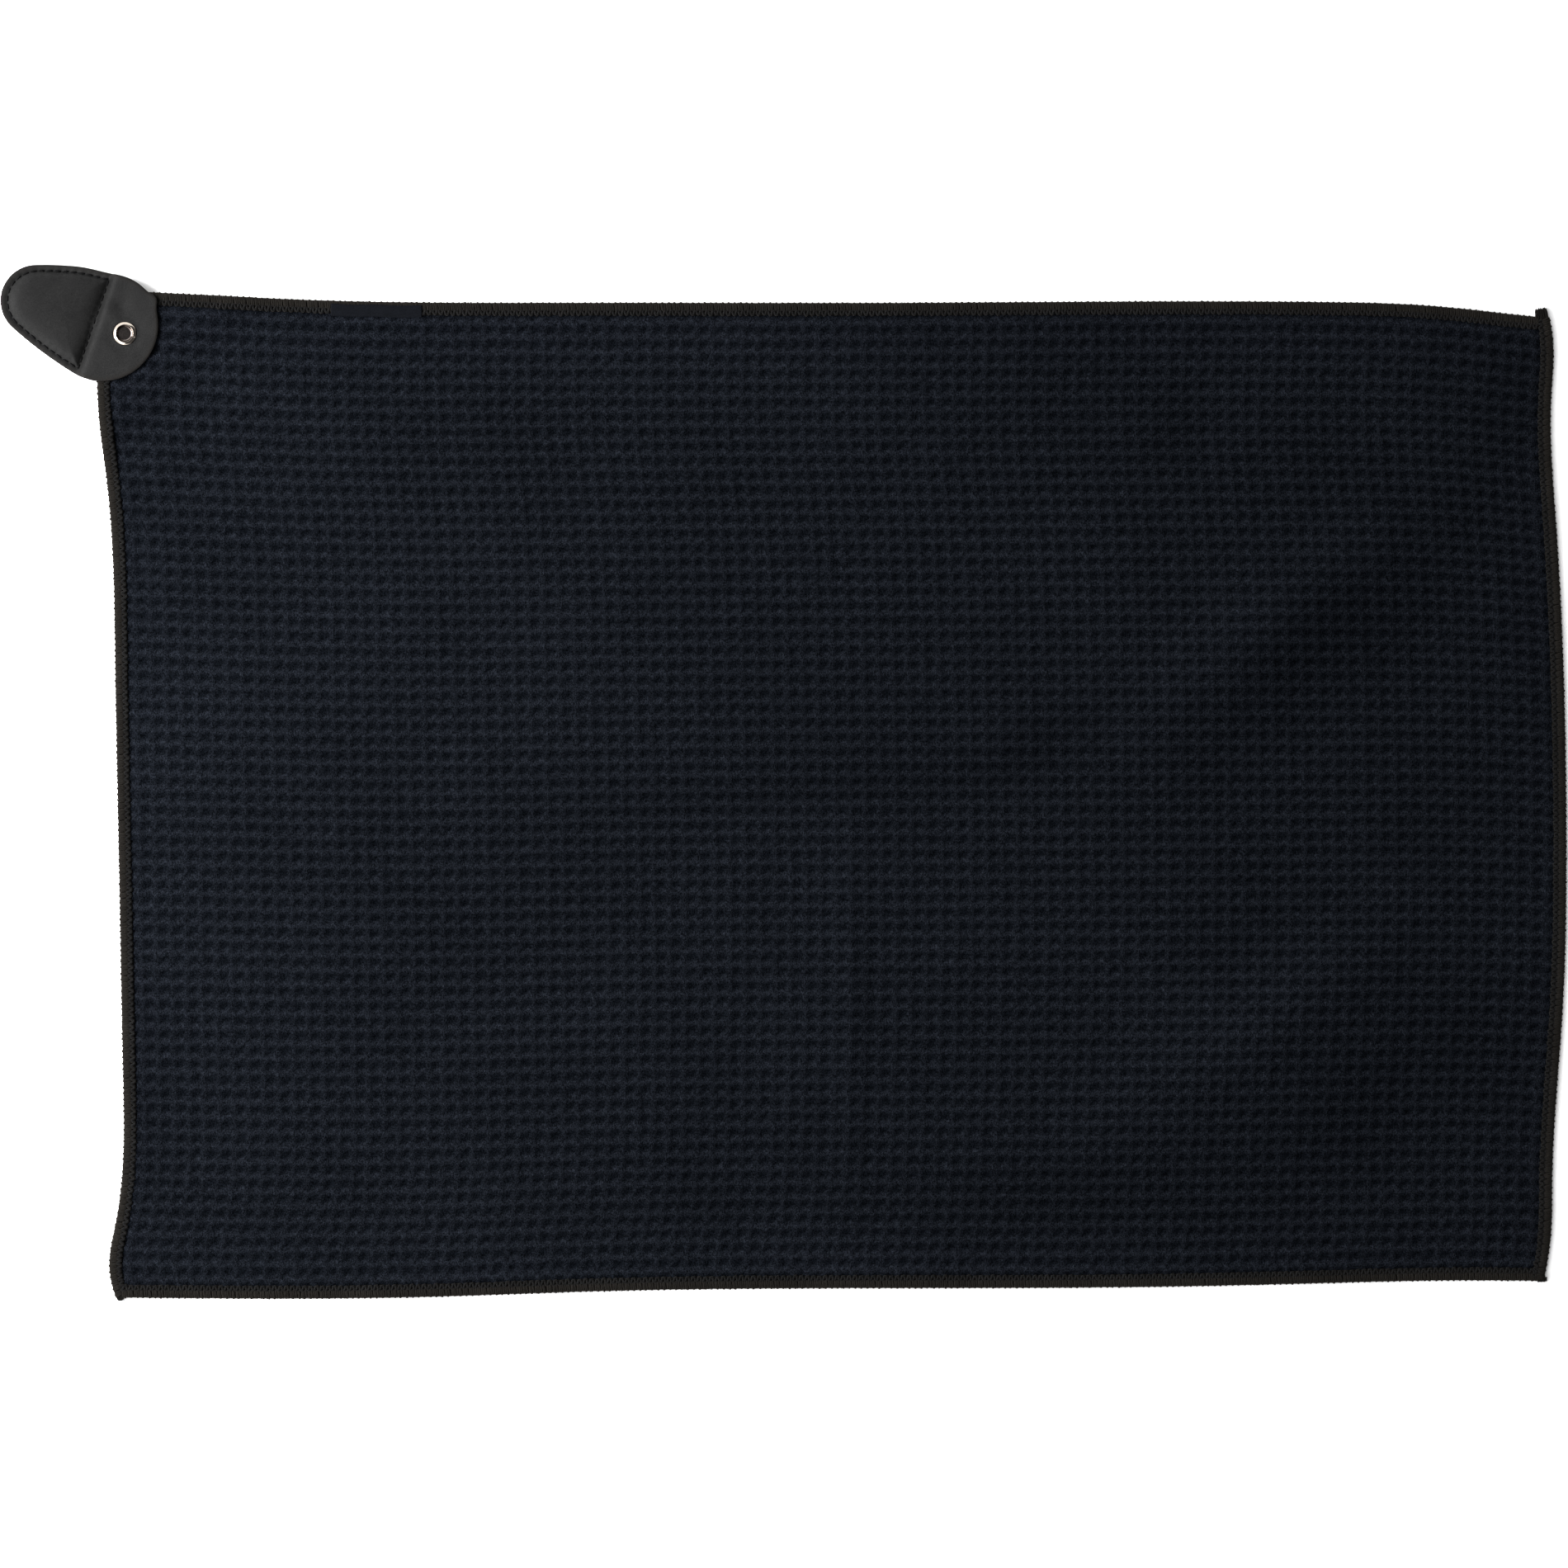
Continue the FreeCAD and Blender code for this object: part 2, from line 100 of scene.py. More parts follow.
# Bands of painted shade (negative tone) and painted light (positive tone) on the cloth: middle, heading
# in degrees, reach along and across, and tone.
PAINTED_LIGHT_AND_SHADE_BANDS = [
    ((224, 53), 41, 122, 30, -0.19), ((172, -30), 35, 62, 46, -0.12), ((245, -131), 33, 115, 46, -0.20),
    ((117, -169), 10, 78, 24, -0.16), ((222, -84), 36, 96, 15, 0.14), ((17, 0), 4, 120, 11, -0.13),
    ((102, 17), 25, 34, 15, -0.15), ((190, 84), 50, 46, 26, 0.08), ((162, 147), 80, 28, 20, -0.15),
    ((255, 141), 10, 75, 44, -0.10), ((-103, -100), 10, 52, 15, 0.09), ((33, -100), 91, 66, 8, -0.08),
    ((-5, -118), 88, 56, 19, 0.11), ((-7, -45), 0, 17, 14, -0.08), ((-79, 183), 0, 110, 36, 0.15),
    ((-30, -200), 0, 250, 22, 0.12),
]

# Hems
STITCH_RUN = 2.5  # overlock stitch length
THREAD_RADIUS = 0.33

# Tab
LEATHER = 1.1
SEAM = 2.1
FLAP_CENTRE, FLAP_RADIUS = 10.0, 23.2
TIP_CENTRE, TIP_RADIUS = 39.8, 14.9
FLANK_RADIUS = 170.0
SEAM_U, SEAM_MARGIN = (13.5, 14.4), 2.5  # the straight seam's U at its +V and -V ends
FLAP_TOP = 6.25
POCKET_RISE, POCKET_DEPTH = 2.0, 1.0
SEW_PITCH, SEW_LENGTH, SEW_RADIUS = 3.4, 2.3, 0.33
BACK_SCALE = 0.995


# Numbers


def smooth(t):
    t = np.clip(t, 0, 1)
    return t * t * (3 - 2 * t)


def bell(x, width):
    return np.exp(-((x / width) ** 2))


def toward_heading(degrees):
    return np.array([math.cos(math.radians(degrees)), math.sin(math.radians(degrees))])


def unit(vectors):
    return vectors / np.linalg.norm(vectors, axis=-1, keepdims=True)


def spline(points, count):
    """count points, evenly spaced by length, on the smooth curve through the given points."""
    p = np.array(points, float)
    n = len(p)
    h = np.linalg.norm(np.diff(p, axis=0), axis=1)
    t = np.concatenate([[0], np.cumsum(h)])
    a = np.zeros((n, n))
    b = np.zeros((n, p.shape[1]))
    a[0, 0] = a[-1, -1] = 1
    for i in range(1, n - 1):
        a[i, i - 1 : i + 2] = h[i - 1], 2 * (h[i - 1] + h[i]), h[i]
        b[i] = 6 * ((p[i + 1] - p[i]) / h[i] - (p[i] - p[i - 1]) / h[i - 1])
    m = np.linalg.solve(a, b)
    fine = np.linspace(0, t[-1], 40 * n)
    k = np.clip(np.searchsorted(t, fine, "right") - 1, 0, n - 2)
    left, right = (fine - t[k])[:, None], (t[k + 1] - fine)[:, None]
    w = h[k][:, None]
    curve = (m[k] * right**3 + m[k + 1] * left**3) / (6 * w)
    curve += (p[k] / w - m[k] * w / 6) * right + (p[k + 1] / w - m[k + 1] * w / 6) * left
    return evenly(curve, count)


def evenly(curve, count):
    run = np.concatenate([[0], np.cumsum(np.linalg.norm(np.diff(curve, axis=0), axis=1))])
    at = np.linspace(0, run[-1], count)
    return sampled(curve, at, run)


def sampled(curve, at, steps=None):
    """The curve at the given places. steps places its points, which are counted if it's None."""
    steps = np.arange(len(curve)) if steps is None else steps
    return np.stack([np.interp(at, steps, column) for column in curve.T], 1)


def length_of(curve):
    return float(np.linalg.norm(np.diff(curve, axis=0), axis=1).sum())


def side_points(name, inset=0.0):
    """One side of the towel's outline, moved in, in the row's axes."""
    dx, dy = INWARD[name]
    points = [(x + dx * inset, y + dy * inset) for x, y in SIDES[name]]
    for end in (0, -1):
        x, y = SIDES[name][end]
        points[end] = (x - math.copysign(inset, x), y - math.copysign(inset, y))
    return np.array(points) + (SNAP - SNAP_DRAWN)


def wavy(x, y, scale, seed):
    """Smooth noise from -1 to 1 at every point."""
    return np.array([noise.noise((a / scale, b / scale, seed)) for a, b in zip(x, y)])


def lifted(x, y):
    """Height that the cloth's corner is raised by, over the tab's back flap."""
    s = ((x - SNAP[0]) - (y - SNAP[1])) / math.sqrt(2)
    return LIFT * (1 - smooth((s - LIFT_FROM) / (LIFT_TO - LIFT_FROM)))


# Meshes


def mesh_piece(name, points, faces, materials, body, index=None, weave=None):
    """A smooth-shaded piece. weave is a pair of surface coordinates for each point."""
    mesh = bpy.data.meshes.new(name)
    mesh.from_pydata((np.asarray(points, float) * MM).tolist(), [], faces)
    for material in materials:
        mesh.materials.append(material)
    mesh.polygons.foreach_set("use_smooth", [True] * len(mesh.polygons))
    if index is not None:
        mesh.polygons.foreach_set("material_index", np.asarray(index, np.int32))
    if weave is not None:
        corner = np.zeros(len(mesh.loops), np.int32)
        mesh.loops.foreach_get("vertex_index", corner)
        uv = mesh.uv_layers.new(name="Weave")
        uv.data.foreach_set("uv", np.asarray(weave, np.float32)[corner].ravel())
    mesh.validate()
    mesh.update()
    piece = placed(name, mesh)
    if body:
        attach(piece, body)
    return piece


def placed(name, data):
    """A new object in the scene."""
    made = bpy.data.objects.new(name, data)
    bpy.context.scene.collection.objects.link(made)
    return made


class Shell:
    """Points and faces that are gathered from several parts of one piece."""

    def __init__(self):
        self.points, self.faces, self.index, self.weave = [], [], [], []
        self.count = 0

    def add(self, points, faces, material=0, weave=None):
        points = np.asarray(points, float)
        self.points.append(points)
        self.faces += [tuple(i + self.count for i in face) for face in faces]
        self.index += [material] * len(faces)
        self.weave.append(np.zeros((len(points), 2)) if weave is None else np.asarray(weave, float))
        self.count += len(points)

    def join(self, a, b, count):
        """Walls between two rings of points that are already there."""
        self.faces += ring_faces(a, b, count)
        self.index += [0] * count

    def piece(self, name, materials, body, slot):
        points, weave = np.concatenate(self.points), np.concatenate(self.weave)
        return mesh_piece(name, points, self.faces, materials, body, self.index, weave)


def grid_faces(rows, columns, wrap=False):
    """Quads of a grid of points stored row by row. With wrap, each row closes on itself."""
    faces = []
    for r in range(rows - 1):
        for c in range(columns if wrap else columns - 1):
            d = (c + 1) % columns
            here, above = r * columns, (r + 1) * columns
            faces.append((here + c, here + d, above + d, above + c))
    return faces


def tube_faces(rings, sides):
    """Faces of a tube, closed at both ends."""
    last = (rings - 1) * sides
    ends = [tuple(reversed(range(sides))), tuple(range(last, last + sides))]
    return grid_faces(rings, sides, wrap=True) + ends


def ring_faces(a, b, count):
    """Quads between two rings of points, which start at a and b."""
    return [(a + c, b + c, b + (c + 1) % count, a + (c + 1) % count) for c in range(count)]


def tube(path, radius, sides):
    """Round tube along a path, closed at both ends."""
    path = np.asarray(path, float)
    n = len(path)
    radius = np.broadcast_to(radius, n)
    tangent = unit(np.gradient(path, axis=0))
    normal = np.cross(tangent[0], (0.3, 0.2, 1.0))
    around = np.arange(sides) * 2 * math.pi / sides
    rings = []
    for i in range(n):
        normal = normal - tangent[i] * (normal @ tangent[i])
        normal /= np.linalg.norm(normal)
        other = np.cross(tangent[i], normal)
        spoke = np.outer(np.cos(around), normal) + np.outer(np.sin(around), other)
        rings.append(path[i] + radius[i] * spoke)
    return np.concatenate(rings), tube_faces(n, sides)


# Shader nodes


class Nodes:
    """A material or world under construction, with short calls for the nodes that it uses."""

    def __init__(self, name, kind="materials", shader="Principled BSDF"):
        self.owner = getattr(bpy.data, kind).new(name)
        self.owner.use_nodes = True
        self.tree = self.owner.node_tree
        self.shader = self.tree.nodes[shader].inputs

    def put(self, socket, value):
        if isinstance(value, bpy.types.NodeSocket):
            self.tree.links.new(value, socket)
        else:
            socket.default_value = value

    def node(self, kind, inputs, **settings):
        """The outputs of a new node, whose inputs are given by name or number."""
        made = self.tree.nodes.new(kind)
        for key, value in settings.items():
            setattr(made, key, value)
        for key, value in inputs.items():
            self.put(made.inputs[key], value)
        return made.outputs

    def math(self, operation, a, b=0.0, c=0.0):
        return self.node("ShaderNodeMath", {0: a, 1: b, 2: c}, operation=operation)[0]

    def times(self, a, b):
        return self.math("MULTIPLY", a, b)

    def position(self):
        return self.node("ShaderNodeTexCoord", {})["Object"]

    def parts(self, vector):
        return self.node("ShaderNodeSeparateXYZ", {0: vector})[:2]

    def weave(self):
        """The piece's own surface coordinates."""
        return self.parts(self.node("ShaderNodeUVMap", {}, uv_map="Weave")[0])

    def noise(self, scale, detail=2.0, roughness=0.5, stretch=None):
        """Noise from 0 to 1, with scale in features to the metre."""
        place = self.position()
        if stretch:
            place = self.node("ShaderNodeMapping", {"Vector": place, "Scale": stretch})[0]
        inputs = {"Vector": place, "Scale": scale, "Detail": detail, "Roughness": roughness}
        return self.node("ShaderNodeTexNoise", inputs)["Fac"]

    def cells(self, scale):
        inputs = {"Vector": self.position(), "Scale": scale}
        return self.node("ShaderNodeTexVoronoi", inputs)["Distance"]

    def patch(self, middle, heading, along, across):
        """1 at a place in millimetres, falling off smoothly to 0 at the given reach each way."""
        inputs = {
            "Vector": self.position(),
            "Location": (middle[0] * MM, middle[1] * MM, 0.0),
            "Rotation": (0.0, 0.0, math.radians(heading)),
            "Scale": (along * MM, across * MM, 1.0),
        }
        place = self.node("ShaderNodeMapping", inputs, vector_type="TEXTURE")[0]
        ball = self.node("ShaderNodeTexGradient", {0: place}, gradient_type="SPHERICAL")["Fac"]
        return self.math("SMOOTH_MIN", self.times(ball, 1.3), 1.0, 0.3)

    def wave(self, value, power=1.0):
        """1 at whole numbers and 0 halfway between them."""
        turned = self.math("COSINE", self.times(value, 2 * math.pi))
        return self.math("POWER", self.math("MULTIPLY_ADD", turned, 0.5, 0.5), power)

    def between(self, value, low, high, to_low=0.0, to_high=1.0):
        inputs = {0: value, 1: low, 2: high, 3: to_low, 4: to_high}
        return self.node("ShaderNodeMapRange", inputs, clamp=True)[0]

    def spread(self, noise, low=0.0, high=1.0):
        """Noise, whose values are mostly from 0.3 to 0.7, spread from low to high."""
        return self.between(noise, 0.3, 0.7, low, high)

    def mix(self, factor, a, b):
        a, b = (c if isinstance(c, bpy.types.NodeSocket) else (*c, 1.0) for c in (a, b))
        return self.node("ShaderNodeMix", {0: factor, 6: a, 7: b}, data_type="RGBA")[2]

    def scaled(self, color, factor):
        """The colour times a number that varies."""
        return self.node("ShaderNodeVectorMath", {0: color, 3: factor}, operation="SCALE")[0]

    def bump(self, height, distance, strength=1.0, under=None):
        """A normal. distance is in millimetres."""
        inputs = {"Height": height, "Distance": distance * MM, "Strength": strength}
        if under is not None:
            inputs["Normal"] = under
        return self.node("ShaderNodeBump", inputs)[0]

    def finish(self, color, roughness, normal=None, **constants):
        """Links the surface up. The constants are shader inputs, with _ for each space."""
        self.put(self.shader["Base Color"], color)
        self.put(self.shader["Roughness"], roughness)
        if normal is not None:
            self.put(self.shader["Normal"], normal)
        for key, value in constants.items():
            self.put(self.shader[key.replace("_", " ")], value)
        return self.owner


def cloth_material():
    """Microfibre waffle with a plush nap over all of it. The pits are darker than the ridges: painted
    shade, and partly the thinner cloth there. Bands of painted shade and painted light lie across the
    cloth.
    """
    n = Nodes("waffle_microfibre")
    u, v = n.weave()
    u = n.math("MULTIPLY_ADD", n.noise(310, 2.0, 0.6), 0.42, n.math("ADD", u, -0.21))
    v = n.math("MULTIPLY_ADD", n.noise(330, 2.0, 0.6), 0.36, n.math("ADD", v, -0.18))
    saw = n.math("SUBTRACT", n.math("FRACT", n.math("ADD", u, 0.12)), 0.5)
    v_run = n.math("MULTIPLY_ADD", saw, -0.16, v)
    lengthwise = n.wave(v_run, 1.3)
    crosswise = n.wave(u, 1.8)
    ridge = n.math("MAXIMUM", lengthwise, n.times(crosswise, 0.6))
    nap = n.noise(1750, 1.0, 0.6)
    tufts = n.noise(820, 2.0, 0.65)
    patches = n.noise(9, 3.0, 0.55)
    # Painted shade in the pits, partly the thinner cloth there: the pit colour is darker than the ridge
    # colour.
    color = n.mix(ridge, (0.0016, 0.0020, 0.0028), (0.0050, 0.0059, 0.0080))
    gain = n.times(n.spread(nap, 0.3, 1.75), n.spread(tufts, 0.65, 1.4))
    gain = n.times(gain, n.spread(patches, 0.88, 1.1))
    # Painted shade and painted light in bands across the cloth, where its swells would shade it.
    painted_bands = 1.0
    for middle, heading, along, across, tone in PAINTED_LIGHT_AND_SHADE_BANDS:
        painted_bands = n.math("MULTIPLY_ADD", n.patch(middle, heading, along, across), tone, painted_bands)
    gain = n.times(gain, painted_bands)
    fibre = n.bump(nap, 0.45, 0.9)
    yarn = n.math("MAXIMUM", n.wave(n.times(u, 9.0)), n.wave(n.times(v, 9.0)))
    normal = n.bump(yarn, 0.10, 0.5, under=fibre)
    return n.finish(
        n.scaled(color, gain), 0.95, normal, Specular_IOR_Level=0.0,
        Sheen_Weight=0.06, Sheen_Roughness=0.35, Sheen_Tint=(0.42, 0.52, 0.75, 1.0),
    )


def sewing_material():
    """Spun thread with fine plied fibres and uneven dye."""
    n = Nodes("sewing_thread")
    fibres = n.noise(2600, 3.0, 0.65)
    dye = n.noise(90, 2.0, 0.5)
    color = n.mix(n.between(fibres, 0.35, 0.7), (0.0008, 0.0008, 0.0009), (0.0026, 0.0026, 0.0028))
    color = n.scaled(color, n.spread(dye, 0.8, 1.2))
    return n.finish(color, 0.7, n.bump(fibres, 0.12, 0.7), Specular_IOR_Level=0.04)


def overlock_material():
    """Fluffy overlock thread. Weave x is a strand's tone, and y is how far in from the edge it is."""
    n = Nodes("overlock_thread")
    tone, depth = n.weave()
    fibres = n.noise(2400, 3.0, 0.7)
    dye = n.noise(60, 2.0, 0.5)
    inner = n.between(depth, 2.9, 3.7)
    color = n.mix(inner, (0.0067, 0.0061, 0.0054), (0.0044, 0.0045, 0.0047))
    color = n.mix(n.between(depth, 0.2, 1.2, 0.7, 0.0), color, (0.0072, 0.0054, 0.0041))
    gain = n.times(tone, n.between(fibres, 0.3, 0.72, 0.62, 1.36))
    gain = n.times(gain, n.spread(dye, 0.85, 1.15))
    return n.finish(
        n.scaled(color, gain), 0.9, n.bump(fibres, 0.2, 0.8), Specular_IOR_Level=0.02,
        Sheen_Weight=0.04, Sheen_Tint=(0.7, 0.6, 0.5, 1.0),
    )


def band_material():
    """The cut cloth and thread between the overlock's loops."""
    n = Nodes("hem_core")
    fibres = n.noise(1700, 3.0, 0.7)
    color = n.mix(n.spread(fibres), (0.0022, 0.0021, 0.0019), (0.0058, 0.0054, 0.0050))
    return n.finish(color, 0.95, n.bump(fibres, 0.3, 0.8), Specular_IOR_Level=0.0)


def leather_material():
    """Pebbled leather with darker, browner cut edges. Weave x is the distance in from the edge, and
    weave y a factor on the colour that holds painted shade and painted highlights, and the darker
    border round the tip.
    """
    n = Nodes("tab_leather")
    margin, shade = n.weave()
    pebbles = n.cells(2300)
    pores = n.noise(2100, 2.0, 0.6)
    mottle = n.noise(160, 3.0, 0.6)
    broad = n.noise(38, 2.0, 0.5)
    color = n.mix(n.spread(mottle), (0.0064, 0.0064, 0.0065), (0.0087, 0.0087, 0.0086))
    color = n.scaled(color, n.spread(broad, 0.88, 1.12))
    color = n.scaled(color, n.between(pores, 0.32, 0.7, 0.56, 1.48))
    # Painted shade and painted highlights, from weave y.
    color = n.scaled(color, shade)
    color = n.mix(n.between(margin, 0.25, 2.6, 0.6, 0.0), color, (0.0064, 0.0054, 0.0047))
    color = n.mix(n.between(margin, 0.0, 0.3, 1.0, 0.0), color, (0.004, 0.0036, 0.0034))
    grain = n.bump(n.between(pebbles, 0.0, 0.75), 0.05, 0.45)
    normal = n.bump(pores, 0.04, 0.4, under=grain)
    roughness = n.spread(mottle, 0.58, 0.7)
    return n.finish(color, roughness, normal, Specular_IOR_Level=0.06)


def snap_material():
    """Plated metal with fine scuffs. It is dark in the snap's well. The well's inner wall is darker
    still with painted shade, and so is the ring's outer lip, where it meets the leather.
    """
    color, dark, edge = (0.42, 0.37, 0.32), (0.2, 0.175, 0.165), (0.05, 0.038, 0.032)
    n = Nodes("snap_plate")
    scuffs = n.noise(1900, 3.0, 0.7, stretch=(1.0, 0.25, 1.0))
    tarnish = n.noise(300, 3.0, 0.6)
    x, y = (n.math("SUBTRACT", part, at * MM) for part, at in zip(n.parts(n.position()), SNAP))
    radius = n.math("SQRT", n.math("ADD", n.times(x, x), n.times(y, y)))
    # Painted shade on the well's inner wall.
    shade = n.mix(n.between(radius, 2.6 * MM, 2.9 * MM), dark, edge)
    shade = n.mix(n.between(radius, 3.5 * MM, 3.7 * MM), shade, color)
    # Painted shade on the ring's outer lip.
    shade = n.mix(n.between(radius, 4.62 * MM, 4.8 * MM), shade, edge)
    shade = n.scaled(shade, n.spread(tarnish, 0.85, 1.1))
    return n.finish(shade, n.spread(scuffs, 0.1, 0.17), n.bump(scuffs, 0.02, 0.2), Metallic=1.0)


def plain_metal(name, color, low, high):
    """Metal whose roughness is between low and high."""
    n = Nodes(name)
    scuffs = n.noise(900, 3.0, 0.7)
    shade = n.scaled(color, n.spread(scuffs, 0.8, 1.1))
    return n.finish(shade, n.spread(scuffs, low, high), n.bump(scuffs, 0.02, 0.2), Metallic=1.0)


def foam_material():
    n = Nodes("pocket_foam")
    bubbles = n.cells(1400)
    color = n.mix(n.between(bubbles, 0.1, 0.7), (0.012, 0.012, 0.012), (0.045, 0.045, 0.045))
    return n.finish(color, 0.9, n.bump(bubbles, 0.25, 0.8))


def ribbon_material():
    """Woven ribbon with a fine rib along it."""
    n = Nodes("label_ribbon")
    u, v = n.weave()
    ribs = n.wave(n.times(v, 2.4))
    picks = n.wave(n.times(u, 3.0))
    fibres = n.noise(2400, 2.0, 0.6)
    color = n.mix(n.spread(fibres), (0.0015, 0.0018, 0.0026), (0.0036, 0.0042, 0.0060))
    color = n.scaled(color, n.between(ribs, 0.0, 1.0, 0.75, 1.15))
    normal = n.bump(n.math("ADD", ribs, n.times(picks, 0.5)), 0.08, 0.6)
    return n.finish(color, 0.8, normal, Specular_IOR_Level=0.03)


def floor_material():
    n = Nodes("paper_floor")
    tone = n.noise(3.0, 2.0, 0.5)
    color = n.mix(n.spread(tone), (0.965, 0.965, 0.965), (0.98, 0.98, 0.98))
    return n.finish(color, 0.9, Specular_IOR_Level=0.1)


CLOTH = cloth_material()
THREAD = overlock_material()
BAND = band_material()
SEWING = sewing_material()
LEATHER_LOOK = leather_material()
SNAP_METAL = snap_material()


# Cloth


# Long low swells: a place on the crest, its slope, its width and its height.
SWELL_REACH = 75
SWELLS = [(205, 66, 0.85, 17, 2.8), (212, -88, 0.72, 18, 2.8), (105, 24, 0.35, 14, 1.4)]


def cloth_swell(x, y):
    """The slight rise and fall of the cloth as it lies, with its faint fold lines."""
    z = 0.55 * wavy(x, y, 70, 3.0) + 0.35 * wavy(x, y, 34, 8.0)
    z += 0.6 * bell(x - 28, 6) * smooth((20 - y) / 70) * smooth((y + 190) / 50)
    across = y + 3 - 4 * np.sin(x / 90)
    z += 0.9 * bell(across, 6) * smooth((110 - x) / 50) * smooth((x + 110) / 50)
    for px, py, slope, width, height in SWELLS:
        away = ((y - py) - slope * (x - px)) / math.hypot(1, slope)
        z += height * bell(away, width) * bell(np.hypot(x - px, y - py), SWELL_REACH)
    return z


def cloth_rest(x, y):
    """Height of the cloth's underside over the floor."""
    inside = edge_room(x, y)
    return CLOTH_LOW + lifted(x, y) + np.maximum(0.35 + cloth_swell(x, y), 0) * smooth(inside / 26)


def edge_room(x, y):
    """Distance in from the nearest hem's outer edge."""
    room = np.full(len(x), 1e9)
    for name, (dx, dy) in INWARD.items():
        run, level = (1, 0) if dx else (0, 1)
        curve = OUTER[name][np.argsort(OUTER[name][:, run])]
        edge = np.interp((x, y)[run], curve[:, run], curve[:, level])
        room = np.minimum(room, (dx + dy) * ((x, y)[level] - edge))
    return room


def cloth_points(u, v):
    """Where the weave's columns and rows lie, from 0 to 1 each way, between the four hems."""
    def at(name, t):
        curve = spline(side_points(name, CLOTH_EDGE), 400)
        if name in ("right", "bottom"):
            curve = curve[::-1]
        return sampled(curve, t, np.linspace(0, 1, len(curve)))

    u_, v_ = u[:, None], v[:, None]
    (low_left, low_right), (top_left, top_right) = at("bottom", [0.0, 1.0]), at("top", [0.0, 1.0])
    lengthwise = (1 - v_) * at("bottom", u) + v_ * at("top", u)
    crosswise = (1 - u_) * at("left", v) + u_ * at("right", v)
    straight = (1 - u_) * ((1 - v_) * low_left + v_ * top_left)
    straight += u_ * ((1 - v_) * low_right + v_ * top_right)
    return lengthwise + crosswise - straight


def cloth_layer(columns, rows, top):
    """One face of the cloth as a grid of points, with the weave's count at each."""
    i, j = np.reshape(np.meshgrid(np.arange(columns + 1), np.arange(rows + 1)), (2, -1))
    count_u, count_v = i * COLUMNS / columns, j * ROWS / rows
    part_u, part_v = count_u % 1, count_v % 1
    rim = (i % columns == 0) | (j % rows == 0)
    saw = np.where(rim, 0, ((part_u + 0.12) % 1 - 0.5) * 0.16)
    lean = np.where(rim, 0, ((part_v + 0.12) % 1 - 0.5) * 0.08)
    x, y = cloth_points((count_u + lean) / COLUMNS, (count_v + saw) / ROWS).T
    z = cloth_rest(x, y)
    if top:
        open_u, open_v = (0.5 - 0.5 * np.cos(2 * math.pi * part) for part in (part_u, part_v))
        sunk = (open_u * open_v) ** 0.8
        weave_room = smooth((edge_room(x, y) - 5.5) / 2.0)
        relief = -PIT_DEPTH * sunk - 0.22 * (open_v < 0.1) * open_u - 0.34 * (open_u < 0.1) * open_v
        nap = rng.normal(0, 0.07, (len(x), 3))
        nap[rim] = 0
        z = z + (CLOTH_CREST - CLOTH_LOW) + relief * weave_room
        z -= 0.95 * smooth((5.98 - edge_room(x, y)) / 0.6)
        x, y, z = x + nap[:, 0], y + nap[:, 1], z + nap[:, 2]
    return np.stack([x, y, z], 1), np.stack([count_u, count_v], 1)


def rim_faces(columns, rows, start):
    """Joins the fine top layer's border to the coarse lower layer's, which begins at start."""
    wide, high = columns * STEPS_ACROSS + 1, rows * STEPS_UP + 1
    faces = []

    def close(upper, lower, flip):
        face = [*upper, *lower]
        faces.append(tuple(face if flip else reversed(face)))

    for c in range(columns):
        for row, low_row, flip in ((0, 0, False), (high - 1, rows, True)):
            left = row * wide + c * STEPS_ACROSS
            low_left = start + low_row * (columns + 1) + c
            close(range(left, left + STEPS_ACROSS + 1), (low_left + 1, low_left), flip)
    for r in range(rows):
        for column, low_column, flip in ((0, 0, True), (wide - 1, columns, False)):
            upper = [(r * STEPS_UP + k) * wide + column for k in range(STEPS_UP + 1)]
            close(upper, [start + (r + k) * (columns + 1) + low_column for k in (1, 0)], flip)
    return faces


def swivel_directions():
    """Where the tab points over its whole swivel."""
    rest = math.atan2(ALONG[1], ALONG[0])
    for turn in np.linspace(SWIVEL[0], SWIVEL[1], 7):
        heading = rest + math.radians(turn)
        yield math.cos(heading), math.sin(heading)


def trim_corner(mesh):
    """Cuts the hidden corner off the cloth, clear of the tab's seam over its whole swivel."""
    bm = bmesh.new()
    bm.from_mesh(mesh)
    for direction in swivel_directions():
        toward = Vector((*direction, 0))
        edge = Vector((*SNAP, 0)) * MM + toward * CORNER_REACH * MM
        geometry = bm.verts[:] + bm.edges[:] + bm.faces[:]
        bmesh.ops.bisect_plane(bm, geom=geometry, plane_co=edge, plane_no=toward, clear_outer=True)
        bmesh.ops.holes_fill(bm, edges=[e for e in bm.edges if e.is_boundary])
    bm.to_mesh(mesh)
    bm.free()


def cut_snap_hole(piece):
    bpy.ops.mesh.primitive_cylinder_add(
        vertices=48, radius=SNAP_HOLE * MM, depth=0.02, location=(*(SNAP * MM), 0.004)
    )
    cutter = bpy.context.object
    modifier = piece.modifiers.new("hole", "BOOLEAN")
    modifier.operation = "DIFFERENCE"
    modifier.solver = "EXACT"
    modifier.object = cutter
    shaped = bpy.data.meshes.new_from_object(piece.evaluated_get(bpy.context.evaluated_depsgraph_get()))
    piece.modifiers.clear()
    old, piece.data = piece.data, shaped
    bpy.data.meshes.remove(old)
    bpy.data.objects.remove(cutter)


